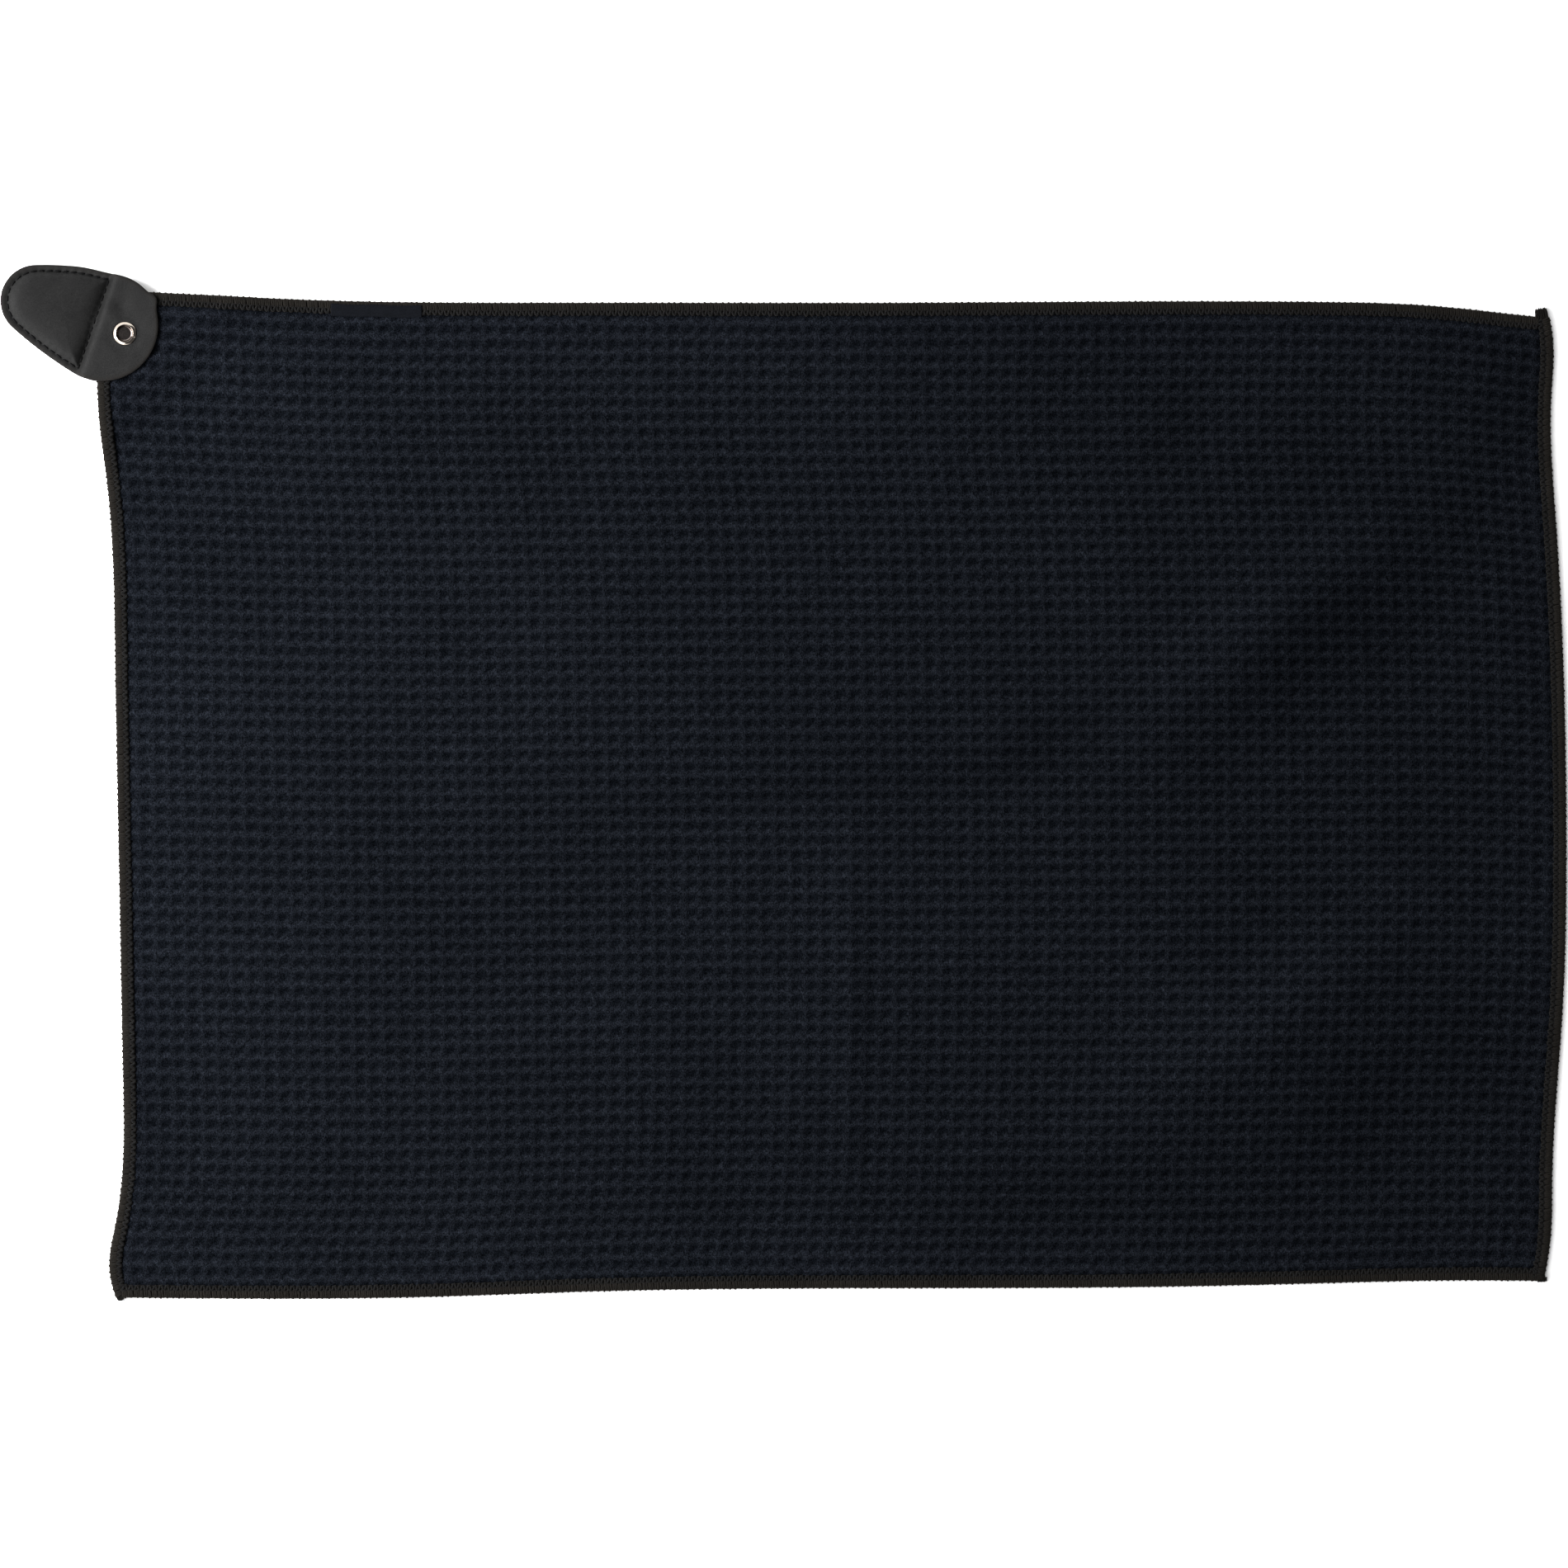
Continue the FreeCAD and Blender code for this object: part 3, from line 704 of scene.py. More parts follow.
def make_cloth():
    fine = (COLUMNS * STEPS_ACROSS, ROWS * STEPS_UP)
    upper, upper_weave = cloth_layer(*fine, top=True)
    lower, lower_weave = cloth_layer(COLUMNS, ROWS, top=False)
    faces = grid_faces(fine[1] + 1, fine[0] + 1)
    faces += [tuple(len(upper) + i for i in reversed(f)) for f in grid_faces(ROWS + 1, COLUMNS + 1)]
    faces += rim_faces(COLUMNS, ROWS, len(upper))
    points = np.concatenate([upper, lower])
    weave = np.concatenate([upper_weave, lower_weave])
    piece = mesh_piece("waffle_cloth", points, faces, [CLOTH], "towel", weave=weave)
    trim_corner(piece.data)
    cut_snap_hole(piece)
    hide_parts("towel_cloth")
    return piece


# Hems


def kept(points):
    """True for points that the corner trim leaves."""
    result = np.ones(len(points), bool)
    for direction in swivel_directions():
        result &= (points - SNAP) @ np.array(direction) <= CORNER_REACH
    return result


class Edge:
    """One side's outer edge, for placing thread at (stitches along, mm in, height)."""

    def __init__(self, name, start, end):
        curve = spline(side_points(name), 3000)
        self.curve = evenly(curve[kept(curve)], 3000)
        self.total = length_of(self.curve)
        self.count = int((self.total - start - end) / STITCH_RUN)
        self.start = start
        tangent = unit(np.gradient(self.curve, axis=0))
        self.inward = tangent[:, ::-1] * (1, -1)

    def at(self, stitch, depth, z):
        stitch, depth, z = np.broadcast_arrays(np.asarray(stitch, float), depth, z)
        run = (self.start + stitch * STITCH_RUN) / self.total * (len(self.curve) - 1)
        spot = sampled(self.curve, run)
        place = spot + sampled(self.inward, run) * depth[:, None]
        return np.column_stack([place, z + lifted(spot[:, 0], spot[:, 1])])


BAND_SECTION = [
    (5.75, 1.25), (5.3, 1.72), (4.5, 1.82), (3.6, 1.50), (2.6, 1.78), (1.2, 1.68), (0.5, 1.35),
    (0.3, 1.0), (0.5, 0.6), (1.2, 0.28), (3.4, 0.14), (5.7, 0.2),
]
# A strand of overlock thread: mm in from the edge, and height, from the needle's row on the face
# round the edge to the same row on the back.
WRAP = [
    (3.95, 1.50), (3.45, 1.88), (2.5, 2.00), (1.35, 1.97), (0.58, 1.72), (0.24, 1.18),
    (0.46, 0.66), (1.3, 0.37), (2.7, 0.33), (4.1, 0.36),
]
# The looper's loops inward from the needle's row: stitches along, mm in and height.
LOOPS = [
    (-0.04, 3.3, 1.72), (0.12, 4.0, 1.93), (0.20, 4.7, 1.97), (0.38, 5.35, 1.86),
    (0.62, 5.2, 1.93), (0.70, 4.4, 1.97), (0.86, 3.7, 1.93), (0.98, 3.3, 1.72),
]


def hem_band(edge, shell):
    """The rounded core under the thread, drawn in a little at every stitch."""
    stations = np.arange(0, edge.count * 3 + 1) / 3
    stitch = np.repeat(stations, len(BAND_SECTION))
    depth, height = np.tile(np.transpose(BAND_SECTION), len(stations))
    shell.add(edge.at(stitch, depth, height), tube_faces(len(stations), len(BAND_SECTION)))


def strands(paths, wide_toward, wide, thick, sides):
    """Many closed tubes at once, from an array of paths. Each is wide along one given direction."""
    count, n = paths.shape[:2]
    tangent = unit(np.gradient(paths, axis=1))
    toward = wide_toward[:, None, :]
    w = unit(toward - tangent * np.sum(tangent * toward, axis=2)[:, :, None])
    up = np.cross(w, tangent)
    turn = np.arange(sides) * 2 * math.pi / sides
    ring = np.cos(turn)[:, None] * w[:, :, None, :] * wide
    ring = ring + np.sin(turn)[:, None] * up[:, :, None, :] * thick
    points = (paths[:, :, None, :] + ring).reshape(-1, 3)
    one = tube_faces(n, sides)
    faces = [tuple(i + k * n * sides for i in face) for k in range(count) for face in one]
    return points, faces


def hem_threads(edge, shell):
    """Three strands round the edge and a loop on each face at every stitch, all a little uneven."""
    count = edge.count
    stitches = np.arange(count)[:, None]

    def add(stitch, depth, height, toward, wide, thick, sides):
        n = stitch.shape[1]
        path = edge.at(stitch.ravel(), depth.ravel(), height.ravel()).reshape(count, n, 3)
        path = path + rng.normal(0, 0.018, path.shape)
        if toward is None:
            middle = stitch.mean(axis=1)
            toward = edge.at(middle + 0.2, 1.0, 1.0) - edge.at(middle - 0.2, 1.0, 1.0)
        points, faces = strands(path, toward, wide, thick, sides)
        points[:, 2] = np.maximum(points[:, 2], 0.03)
        tones = np.repeat(rng.uniform(0.87, 1.13, count), n * sides)
        weave = np.column_stack([tones, np.repeat(depth.ravel(), sides)])
        shell.add(points, faces, 1, weave)

    wrap, loops = np.array(WRAP), np.array(LOOPS)
    for lane, inner in ((-0.34, 0.24), (0.0, 0.5), (0.34, 0.76)):
        in_share = smooth(wrap[:, 0] / 3.6)
        stitch = stitches + 0.5 + rng.normal(0, 0.04, (count, 1)) + lane * (1 - in_share)
        stitch = stitch + (inner - 0.5) * in_share + 0.14 * (in_share - 0.5)
        depth = wrap[:, 0] + (0.0 if lane == 0 else 0.26) * (wrap[:, 0] < 1)
        depth = depth + rng.normal(0, 0.05, (count, 1))
        add(stitch, depth, np.tile(wrap[:, 1], (count, 1)), None, 0.48, 0.28, 6)
    for height, up in ((loops[:, 2], 1), (2.2 - loops[:, 2], -1)):
        slack = rng.normal(0, 0.12, (count, 1)) * (loops[:, 1] > 4)
        toward = np.tile((0.0, 0.0, 1.0), (count, 1))
        stitch, height = stitches + loops[:, 0], np.tile(height, (count, 1))
        add(stitch, loops[:, 1] + slack, height, toward, 0.32, 0.58, 5)


def make_hem(name, start, end):
    edge = Edge(name, start, end)
    shell = Shell()
    hem_band(edge, shell)
    hem_threads(edge, shell)
    piece = shell.piece(f"overlock_{name}", [BAND, THREAD], "towel", "hem_thread")
    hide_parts(f"hem_{name}")
    return piece


# Middle of each tail's root, its heading in degrees, its width and its length.
TAILS = [
    ((316.6, 193.6), 99.0, 6.0, 5.2),
    ((316.4, -206.3), -85.0, 4.8, 1.9),
    ((-277.7, -213.0), -80.0, 3.6, 3.1),
]


def make_tails():
    """The cut ends of the overlock chain: a row of strands that fray at the end."""
    shell = Shell()
    for root, heading, width, length in TAILS:
        origin = np.array(root) + (SNAP - SNAP_DRAWN)
        along = toward_heading(heading)
        side = along[::-1] * (-1, 1)
        count = round(width / 0.42)
        for strand in range(2 * count):
            t = np.linspace(0, 1, 8)
            across = ((strand % count + 0.5) / count - 0.5) * (width - 0.7)
            reach = length * rng.uniform(0.8, 1.0)
            sway = across * (1 - 0.12 * t) + rng.normal(0, 0.12) * t + 0.08 * np.sin(5 * t + strand)
            place = origin + np.outer(reach * t, along) + np.outer(sway, side)
            z = (0.62 if strand < count else 1.45) + 0.12 * np.sin(3 * t + 2.1 * strand)
            points, faces = tube(np.column_stack([place, z]), THREAD_RADIUS * (1 - 0.25 * t), 6)
            tone = np.tile((rng.uniform(0.6, 1.0), 3.0), (len(points), 1))
            shell.add(points, faces, 0, tone)
    piece = shell.piece("chain_ends", [THREAD], "towel", "hem_thread")
    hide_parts("thread_tails")
    return piece


def make_label():
    """A blank woven ribbon, a little wavy, lying on the hem's inner half and the cloth."""
    low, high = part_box("hem_label")
    x0, x1 = low.x / MM, high.x / MM
    y0, y1 = low.y / MM, high.y / MM
    columns, rows = 80, 12
    grid = np.meshgrid(np.linspace(0, 1, columns + 1), np.linspace(0, 1, rows + 1))
    i, j = np.reshape(grid, (2, -1))
    x = x0 + (x1 - x0) * i
    edge = np.interp(x, OUTER["top"][:, 0], OUTER["top"][:, 1])
    y = edge - 1.7 - (y1 - y0) * (1 - j) + 0.12 * np.sin(x / 3.1)
    z = 2.36 + 0.10 * wavy(x, y, 5, 2.0) - 0.12 * (1 - j) ** 2
    weave = np.stack([i * (x1 - x0), j * (y1 - y0)], 1)
    upper = np.stack([x, y, z], 1)
    lower = upper - (0, 0, 0.28)
    faces = grid_faces(rows + 1, columns + 1)
    n = len(upper)
    faces += [tuple(n + k for k in reversed(f)) for f in faces]
    spots = np.arange(n).reshape(rows + 1, columns + 1)
    border = [spots[0, :-1], spots[:-1, -1], spots[-1, :0:-1], spots[:0:-1, 0]]
    border = np.concatenate(border).tolist()
    for a, b in zip(border, border[1:] + border[:1]):
        faces.append((b, a, n + a, n + b))
    points, weave = np.concatenate([upper, lower]), np.concatenate([weave, weave])
    look = ribbon_material()
    piece = mesh_piece("ribbon_label", points, faces, [look], "towel", weave=weave)
    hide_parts("hem_label")
    return piece


# Tab


def flank_centre(side):
    near, far = FLANK_RADIUS - FLAP_RADIUS, FLANK_RADIUS - TIP_RADIUS
    span = TIP_CENTRE - FLAP_CENTRE
    u = FLAP_CENTRE + (near**2 - far**2 + span**2) / (2 * span)
    return np.array([u, -side * math.sqrt(near**2 - (u - FLAP_CENTRE) ** 2)])


def arc_points(centre, radius, a, b, count=60):
    """Counter-clockwise arc about a centre, from the direction of a to the direction of b."""
    start = math.atan2(a[1] - centre[1], a[0] - centre[0])
    stop = math.atan2(b[1] - centre[1], b[0] - centre[0])
    if stop < start:
        stop += 2 * math.pi
    turn = np.linspace(start, stop, count)
    return centre + radius * np.column_stack([np.cos(turn), np.sin(turn)])


def flank_end(margin, side, centre_u):
    centre = flank_centre(side)
    away = np.array([centre_u, 0.0]) - centre
    return centre + away * (FLANK_RADIUS - margin) / np.linalg.norm(away)


def tip_path(margin, start_u):
    """The outline beyond start_u, moved in by margin, from the -V flank round to the +V flank."""
    def flank_at(side):
        centre = flank_centre(side)
        radius = FLANK_RADIUS - margin
        u = start_u[side]
        return np.array([u, centre[1] + side * math.sqrt(radius**2 - (u - centre[0]) ** 2)])

    ends = {side: flank_end(margin, side, TIP_CENTRE) for side in (1, -1)}
    radius = FLANK_RADIUS - margin
    return np.concatenate([
        arc_points(flank_centre(-1), radius, flank_at(-1), ends[-1]),
        arc_points((TIP_CENTRE, 0.0), TIP_RADIUS - margin, ends[-1], ends[1])[1:],
        arc_points(flank_centre(1), radius, ends[1], flank_at(1))[1:],
    ])


def slimmed(points):
    """The tab is slightly slimmer on its upper flank, beside the seam."""
    slim = 1.35 * bell(points[:, 0] - 13.5, 10.0) * smooth((-points[:, 1] - 5) / 8)
    return points + np.outer(slim, (0, 1))


def tab_outline(count):
    """The whole outline, evenly spaced and slimmed beside the seam."""
    joint = flank_end(0, 1, FLAP_CENTRE)
    tip = tip_path(0, {1: joint[0], -1: joint[0]})
    flap = arc_points((FLAP_CENTRE, 0.0), FLAP_RADIUS, tip[-1], tip[0], 120)
    closed = np.concatenate([tip, flap[1:]])
    return slimmed(evenly(closed, count + 1)[:-1])


def true_outline(outline):
    """The front leather's own outline, which has a slight corner by the top hem."""
    heading = np.degrees(np.arctan2(outline[:, 1], outline[:, 0] - FLAP_CENTRE))
    away = (heading + 133.0 + 180) % 360 - 180
    centre = np.array([FLAP_CENTRE, 0.0])
    return centre + (outline - centre) * (1 + 1.9 / FLAP_RADIUS * bell(away, 7.5))[:, None]


def distance_to(points, path, closed=False):
    """Distance from each point to a polyline, and how far along it the nearest spot is."""
    ring = np.concatenate([path, path[:1]]) if closed else path
    a, b = ring[:-1], ring[1:]
    run = np.concatenate([[0], np.cumsum(np.linalg.norm(b - a, axis=1))])
    best = np.full(len(points), 1e9)
    along = np.zeros(len(points))
    for k in range(len(a)):
        d = b[k] - a[k]
        t = np.clip(((points - a[k]) @ d) / (d @ d), 0, 1)
        away = np.linalg.norm(points - a[k] - t[:, None] * d, axis=1)
        nearer = away < best
        best[nearer] = away[nearer]
        along[nearer] = run[k] + t[nearer] * (run[k + 1] - run[k])
    return best, along


def stitch_loop():
    """The closed seam round the pocket, evenly spaced, and its length."""
    path = slimmed(tip_path(SEAM_MARGIN, {1: SEAM_U[0], -1: SEAM_U[1]}))
    inward = unit(np.array([TIP_CENTRE, 0.0]) - path)
    path = path + inward * (seam_margin(path[:, 0]) - SEAM_MARGIN)[:, None]
    closed = np.concatenate([path, path[:1]])
    return evenly(closed, 321), length_of(closed)


def seam_margin(u):
    """How far in from the edge the stitching is. It is further in round the tip."""
    return SEAM_MARGIN + 0.4 * smooth((u - 42) / 9)


def seam_line(v):
    """U of the straight seam."""
    return (SEAM_U[0] + SEAM_U[1]) / 2 + (SEAM_U[0] - SEAM_U[1]) * v / 36


def tab_place(points):
    """(u, v, z) in the tab's axes to the row's."""
    points = np.asarray(points, float)
    flat = SNAP + np.outer(points[:, 0], ALONG) + np.outer(points[:, 1], ACROSS)
    return np.column_stack([flat, points[:, 2]])


AROUND, RINGS = 300, 64
PAD_SIDES, PAD_RINGS = 160, 13
SNAP_SIDES = 96
SEW_STEPS = 20  # points of the seam's path in one stitch


def tab_sheet(outline):
    """Points that fill the outline in rings about the snap, with their distance in from the edge."""
    t = np.linspace(0, 1, RINGS)
    reach = (1 - (1 - t) ** 1.35)[1:]
    points = np.concatenate([outline * r for r in reach])
    points = np.concatenate([[[0.0, 0.0]], points])
    margin, _ = distance_to(points, outline, closed=True)
    margin[-len(outline):] = 0
    return points, margin


def fan_faces(count, rings, flip=False):
    """A disc of quads round one middle point, which is stored first."""
    faces = []
    for c in range(count):
        d = (c + 1) % count
        faces.append((0, 1 + c, 1 + d))
        for a in range(1, 1 + (rings - 1) * count, count):
            b = a + count
            faces.append((a + c, b + c, b + d, a + d))
    return [tuple(reversed(f)) for f in faces] if flip else faces


def leather_piece(name, outline, top, bottom, body):
    """One cut leather. top and bottom give the height and shade at (u, v, margin)."""
    points, margin = tab_sheet(outline)
    n, rings = len(outline), RINGS - 1
    shell = Shell()
    heights = []
    for surface, flip in ((top, False), (bottom, True)):
        z, shade = surface(points, margin)
        heights.append(z)
        place = tab_place(np.column_stack([points, z]))
        shell.add(place, fan_faces(n, rings, flip), 0, np.column_stack([margin + 0.25, shade]))
    size = len(points)
    upper, lower = heights[0][-n:], heights[1][-n:]
    wall = []
    for share, out in ((0.2, 0.10), (0.5, 0.16), (0.8, 0.10)):
        ring = outline * (1 + out / np.linalg.norm(outline, axis=1))[:, None]
        wall.append(np.column_stack([ring, upper + (lower - upper) * share]))
    shell.add(tab_place(np.concatenate(wall)), [], 0, np.tile([0.0, 0.8], (3 * n, 1)))
    loops = [size - n, 2 * size, 2 * size + n, 2 * size + 2 * n, 2 * size - n]
    for a, b in zip(loops, loops[1:]):
        shell.join(a, b, n)
    return shell.piece(name, [LEATHER_LOOK], body, "leather")


LOOP, LOOP_LENGTH = stitch_loop()
SEW_COUNT = round(LOOP_LENGTH / SEW_PITCH)


def sewn_in(points):
    """Groove depth that the stitching pulls into the leather, with a pucker at every hole."""
    away, along = distance_to(points, LOOP)
    holes = np.cos(2 * math.pi * along / LOOP_LENGTH * SEW_COUNT)
    groove = bell(away, 0.75) * (0.16 + 0.16 * (0.5 + 0.5 * holes))
    ripple = 0.05 * holes * bell(away - 1.6, 1.4)
    return groove + ripple


def pocket_swell(points, margin):
    """0 at the seam, rising to 1 over the magnet, like leather drawn over a pad."""
    room = np.minimum(margin - seam_margin(points[:, 0]), points[:, 0] - seam_line(points[:, 1]))
    room = np.maximum(room, 0)
    return 1 - np.exp(-((room / 2.3) ** 1.35)) + 0.22 * smooth(room / 15)


def flap_rise(u, v):
    """0 over the pocket and the hinge line, climbing quickly to 1 over the towel's corner."""
    reach = np.maximum(seam_line(v) - 0.15 - u, 0)
    return 1 - np.exp(-((reach / 1.55) ** 1.5))


def rolled(margin):
    """1 at the cut edge, falling to 0 where its rounding ends."""
    return np.maximum(1 - margin / 0.9, 0) ** 2


def front_top(points, margin):
    u, v = points.T
    rise = flap_rise(u, v)
    z = SEAM + LEATHER + (FLAP_TOP - SEAM - LEATHER) * rise
    z += POCKET_RISE * pocket_swell(points, margin)
    z -= sewn_in(points) * (1 - rise)
    z -= 0.22 * rolled(margin)
    z -= 0.55 * bell(np.hypot(u - 5.2, v + 10.3), 3.8)
    z += 0.22 * bell((u - 6.5) * 0.6 + (v + 4.0) * 0.8, 2.6) * bell(np.hypot(u - 6, v + 5), 8) * rise
    z -= 0.18 * bell(np.hypot(u, v) - 6.2, 2.0)
    z += 0.07 * wavy(u, v, 4.5, 1.0) + 0.10 * wavy(u, v, 11, 5.0) * smooth(margin / 3)
    away, _ = distance_to(points, LOOP)
    z -= 0.9 * smooth((4.7 - np.hypot(u, v)) / 0.8)
    # Painted shade along the stitching's groove, on the flap's slope beside the seam and over the
    # pocket; a painted highlight on the pocket's tip end and painted shade at its seam end. The last
    # factor is the darker border round the tip, the leather's own tone.
    shade = 1 - 0.30 * bell(away, 0.8)
    shade *= (1 - 0.22 * bell(u - (seam_line(v) - 1.4), 1.3))
    pocket = pocket_swell(points, margin)
    shade *= (1 - 0.31 * pocket)
    shade *= (1 + pocket * (0.16 * smooth((u - 37) / 9) - 0.10 * smooth((27 - u) / 9)))
    shade *= (1 - 0.40 * smooth((u - 32) / 16) * smooth((seam_margin(u) + 0.3 - margin) / 0.8))
    return z, shade


def front_bottom(points, margin):
    u, v = points.T
    rise = flap_rise(u, v)
    z = SEAM + (FLAP_TOP - SEAM - LEATHER) * rise + POCKET_RISE * 0.97 * pocket_swell(points, margin)
    return z + 0.12 * rolled(margin), np.full(len(u), 0.8)


def back_top(points, margin):
    z = np.full(len(points), SEAM - 0.03) - POCKET_DEPTH * 0.9 * pocket_swell(points, margin)
    z -= 0.12 * rolled(margin)
    return z, np.full(len(points), 0.75)


def back_bottom(points, margin):
    z = (SEAM - LEATHER) - POCKET_DEPTH * 0.93 * pocket_swell(points, margin)
    z += sewn_in(points) * 0.8
    z += 0.22 * rolled(margin)
    z += 0.04 * wavy(points[:, 0], points[:, 1], 5, 9.0)
    return np.maximum(z, 0.0), np.ones(len(points))


def make_leathers():
    outline = tab_outline(AROUND)
    front = leather_piece("front_leather", true_outline(outline), front_top, front_bottom, None)
    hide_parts("front_pocket_leather", "front_flap_leather")
    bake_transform(front)
    back = leather_piece("rear_leather", outline * BACK_SCALE, back_top, back_bottom, "tab")
    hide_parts("back_leather")


def make_stitches(name, node, front):
    """Tight sewing thread: each stitch rises from one hole and dives into the next."""
    shell = Shell()
    path = evenly(LOOP, SEW_COUNT * SEW_STEPS + 1)
    t = np.linspace(-1, 1, 11)
    for k in range(SEW_COUNT):
        reach = t * SEW_STEPS / 2 * SEW_LENGTH / SEW_PITCH
        index = np.clip((k + 0.5) * SEW_STEPS + reach, 0, len(path) - 1)
        spot = sampled(path, index) + np.outer(np.linspace(-0.12, 0.12, len(t)), rng.normal(0, 0.6, 2))
        arch = 0.06 + 0.34 * (1 - np.abs(t) ** 2.6)
        z = (SEAM + LEATHER - 0.30 + arch) if front else (SEAM - LEATHER + 0.34 - arch)
        points, faces = tube(np.column_stack([spot, z]), SEW_RADIUS * (1 - 0.25 * np.abs(t) ** 3), 8)
        shell.add(tab_place(points), faces)
    piece = shell.piece(name, [SEWING], "tab", "seam_thread")
    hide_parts(node)


# Section of the snap's outer half, from the middle of its well over the ring and down the post.
SNAP_SECTION = [
    (0.0, 5.60), (1.3, 5.58), (2.4, 5.50), (2.95, 5.55), (3.15, 5.75), (3.22, 6.15), (3.28, 6.6),
    (3.36, 6.88), (3.48, 7.04), (3.64, 7.1), (3.82, 7.05), (4.15, 6.88), (4.5, 6.67), (4.72, 6.53),
    (4.86, 6.34), (4.98, 6.14), (5.06, 6.0),
    (4.95, 5.92), (4.4, 5.9), (3.3, 5.3), (1.9, 5.2), (1.9, 2.95), (0.0, 2.95),
]


def make_snap():
    """A rolled ring round a shallow well."""
    turn = np.arange(SNAP_SIDES) * 2 * math.pi / SNAP_SIDES
    rings = SNAP_SECTION[1:-1]
    points = [(*SNAP, SNAP_SECTION[0][1])]
    for r, z in rings:
        points += [(SNAP[0] + r * math.cos(a), SNAP[1] + r * math.sin(a), z) for a in turn]
    points.append((*SNAP, SNAP_SECTION[-1][1]))
    faces = fan_faces(SNAP_SIDES, len(rings))
    last = 1 + (len(rings) - 1) * SNAP_SIDES
    faces += [(last + c, len(points) - 1, last + (c + 1) % SNAP_SIDES) for c in range(SNAP_SIDES)]
    piece = mesh_piece("snap_ring", points, faces, [SNAP_METAL], "front_flap")
    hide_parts("snap_post")


def make_pad():
    """The foam that fills the pocket round the magnet."""
    outline = slimmed(tip_path(SEAM_MARGIN + 1.7, {1: SEAM_U[0] + 1.2, -1: SEAM_U[1] + 1.2}))
    outline = evenly(np.concatenate([outline, outline[:1]]), PAD_SIDES + 1)[:-1]
    middle = outline.mean(axis=0)
    reach = np.linspace(0, 1, PAD_RINGS + 1)[1:]
    flat = np.concatenate([[middle], *[middle + (outline - middle) * r for r in reach]])
    swell = pocket_swell(flat, distance_to(flat, tab_outline(AROUND), closed=True)[0])
    shell = Shell()
    over = SEAM + 0.15 + (POCKET_RISE - 0.25) * swell
    under = SEAM - 0.1 - 0.75 * swell
    for z, flip in ((over, False), (under, True)):
        shell.add(tab_place(np.column_stack([flat, z])), fan_faces(PAD_SIDES, PAD_RINGS, flip))
    size = len(flat)
    shell.join(size - PAD_SIDES, 2 * size - PAD_SIDES, PAD_SIDES)
    piece = shell.piece("magnet_pad", [foam_material()], "tab", "foam")
    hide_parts("foam_pad")


# Scene

PATCH_TOWARD = (0.77, -0.21, 1.0)  # the sky is dark where a direction along this is above the edge
PATCH_EDGE = (0.64, 0.74)
SKY_BRIGHT, SKY_DARK = 2.42, 0.12
CAMERA_HEIGHT, FRAME_WIDTH = 2.4, 0.6552
FLOOR_HALF = 6.0
# Name, place, target, size and power.
LAMPS = [
    ("key", (-0.9, 0.12, 0.52), (-0.25, -0.02, 0.0), (0.6, 0.4), 28),
    ("low_left", (-0.9, -0.95, 0.95), (-0.2, -0.1, 0.0), (0.9, 0.25), 9),
    ("right_strip", (1.15, -0.3, 0.95), (0.1, 0.0, 0.0), (0.1, 1.0), 0.35),
]

OUTER = {name: spline(side_points(name), 600) for name in SIDES}


def studio_sky():
    """White surroundings with a dark patch overhead, where a camera would stand. The patch reaches
    further down on the right, so the light is a little stronger from the left."""
    n = Nodes("studio", "worlds", "Background")
    inputs = {0: n.node("ShaderNodeTexCoord", {})["Generated"], 1: PATCH_TOWARD}
    height = n.node("ShaderNodeVectorMath", inputs, operation="DOT_PRODUCT")["Value"]
    n.put(n.shader["Color"], (1.0, 1.0, 1.0, 1.0))
    n.put(n.shader["Strength"], n.between(height, *PATCH_EDGE, SKY_BRIGHT, SKY_DARK))
    return n.owner


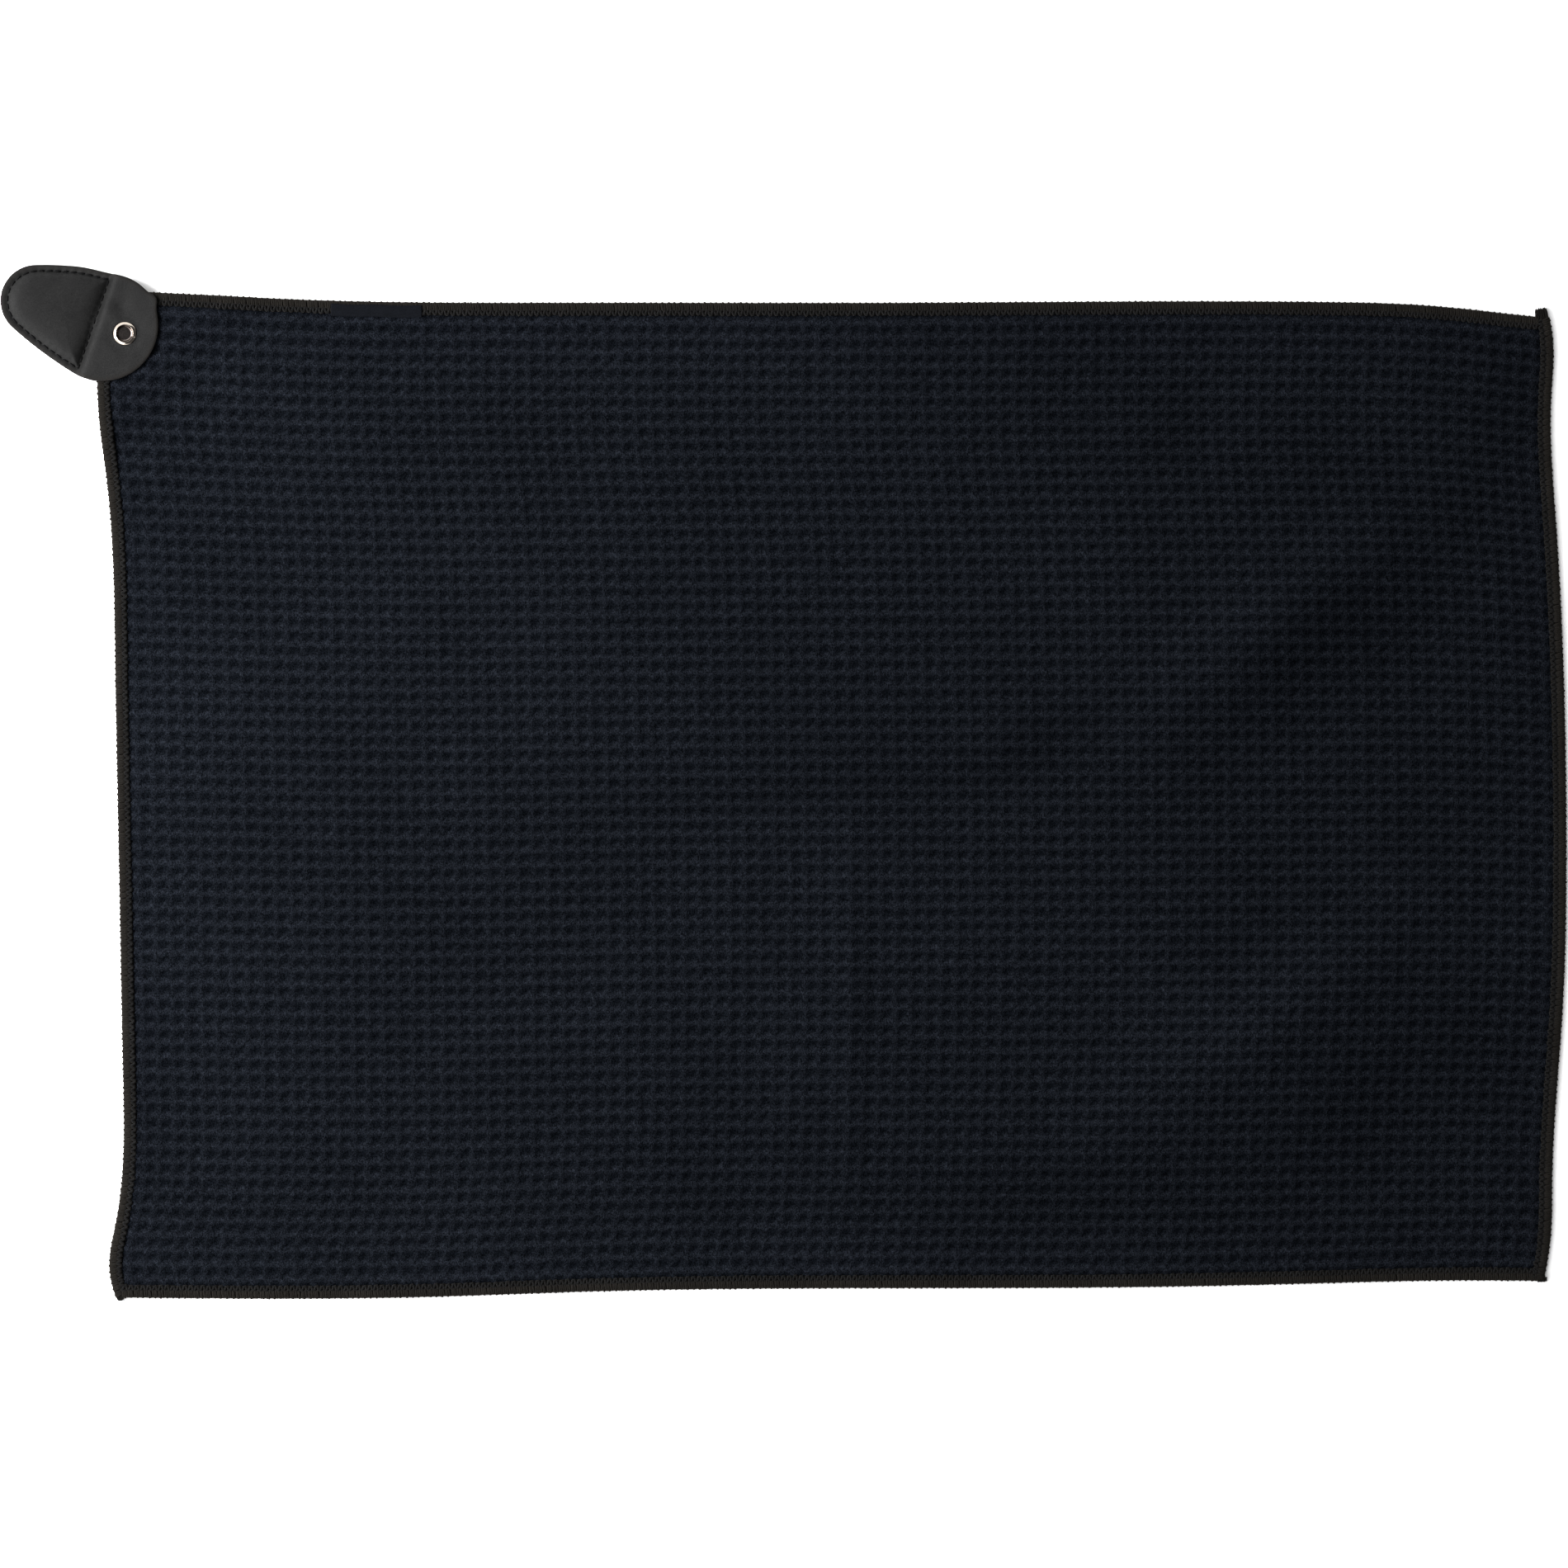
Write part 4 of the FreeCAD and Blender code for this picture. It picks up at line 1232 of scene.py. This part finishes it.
def make_stage():
    """Plain floor, lights and the camera, which looks straight down."""
    mesh = bpy.data.meshes.new("floor")
    corners = [(FLOOR_HALF * x, FLOOR_HALF * y, 0) for x, y in ((-1, -1), (1, -1), (1, 1), (-1, 1))]
    mesh.from_pydata(corners, [], [(0, 1, 2, 3)])
    mesh.materials.append(floor_material())
    floor = placed("floor", mesh)

    for name, place, target, size, power in LAMPS:
        light = bpy.data.lights.new(name, "AREA")
        light.shape = "RECTANGLE"
        light.size, light.size_y = size
        light.energy = power
        lamp = placed(name, light)
        lamp.location = place
        lamp.rotation_euler = (Vector(target) - Vector(place)).to_track_quat("-Z", "Y").to_euler()
    bpy.context.scene.world = studio_sky()

    camera = bpy.data.cameras.new("camera")
    camera.sensor_width = 36.0
    camera.lens = camera.sensor_width * CAMERA_HEIGHT / FRAME_WIDTH
    eye = placed("camera", camera)
    eye.location = (0.0, 0.0, CAMERA_HEIGHT)
    bpy.context.scene.camera = eye
    bpy.context.scene.view_settings.view_transform = "Standard"
    return floor


# Each plain CAD node's material, colour, and lowest and highest roughness.
METALS = {
    "snap_stud": ("stud_metal", (0.42, 0.40, 0.37), 0.2, 0.35),
    "snap_socket": ("socket_metal", (0.40, 0.38, 0.36), 0.22, 0.38),
    "snap_cap": ("cap_metal", (0.45, 0.43, 0.40), 0.16, 0.3),
    "socket_spring": ("spring_wire", (0.62, 0.48, 0.25), 0.2, 0.3),
    "magnet": ("nickel_plate", (0.60, 0.58, 0.55), 0.12, 0.25),
}


def finish_nodes():
    """Materials for the CAD nodes that stay as they are."""
    for node, look in METALS.items():
        data = frame["nodes"][node].data
        data.materials.clear()
        data.materials.append(plain_metal(*look))


floor = make_stage()
cloth = make_cloth()
hems = [
    make_hem("top", 0.4, 3.0),
    make_hem("right", 0.2, 0.2),
    make_hem("bottom", 1.6, 0.8),
    make_hem("left", 0.2, 0.4),
]
tails = make_tails()
label = make_label()
make_leathers()
make_stitches("front_stitches", "seam_thread_front", True)
make_stitches("rear_stitches", "seam_thread_back", False)
make_snap()
make_pad()
finish_nodes()
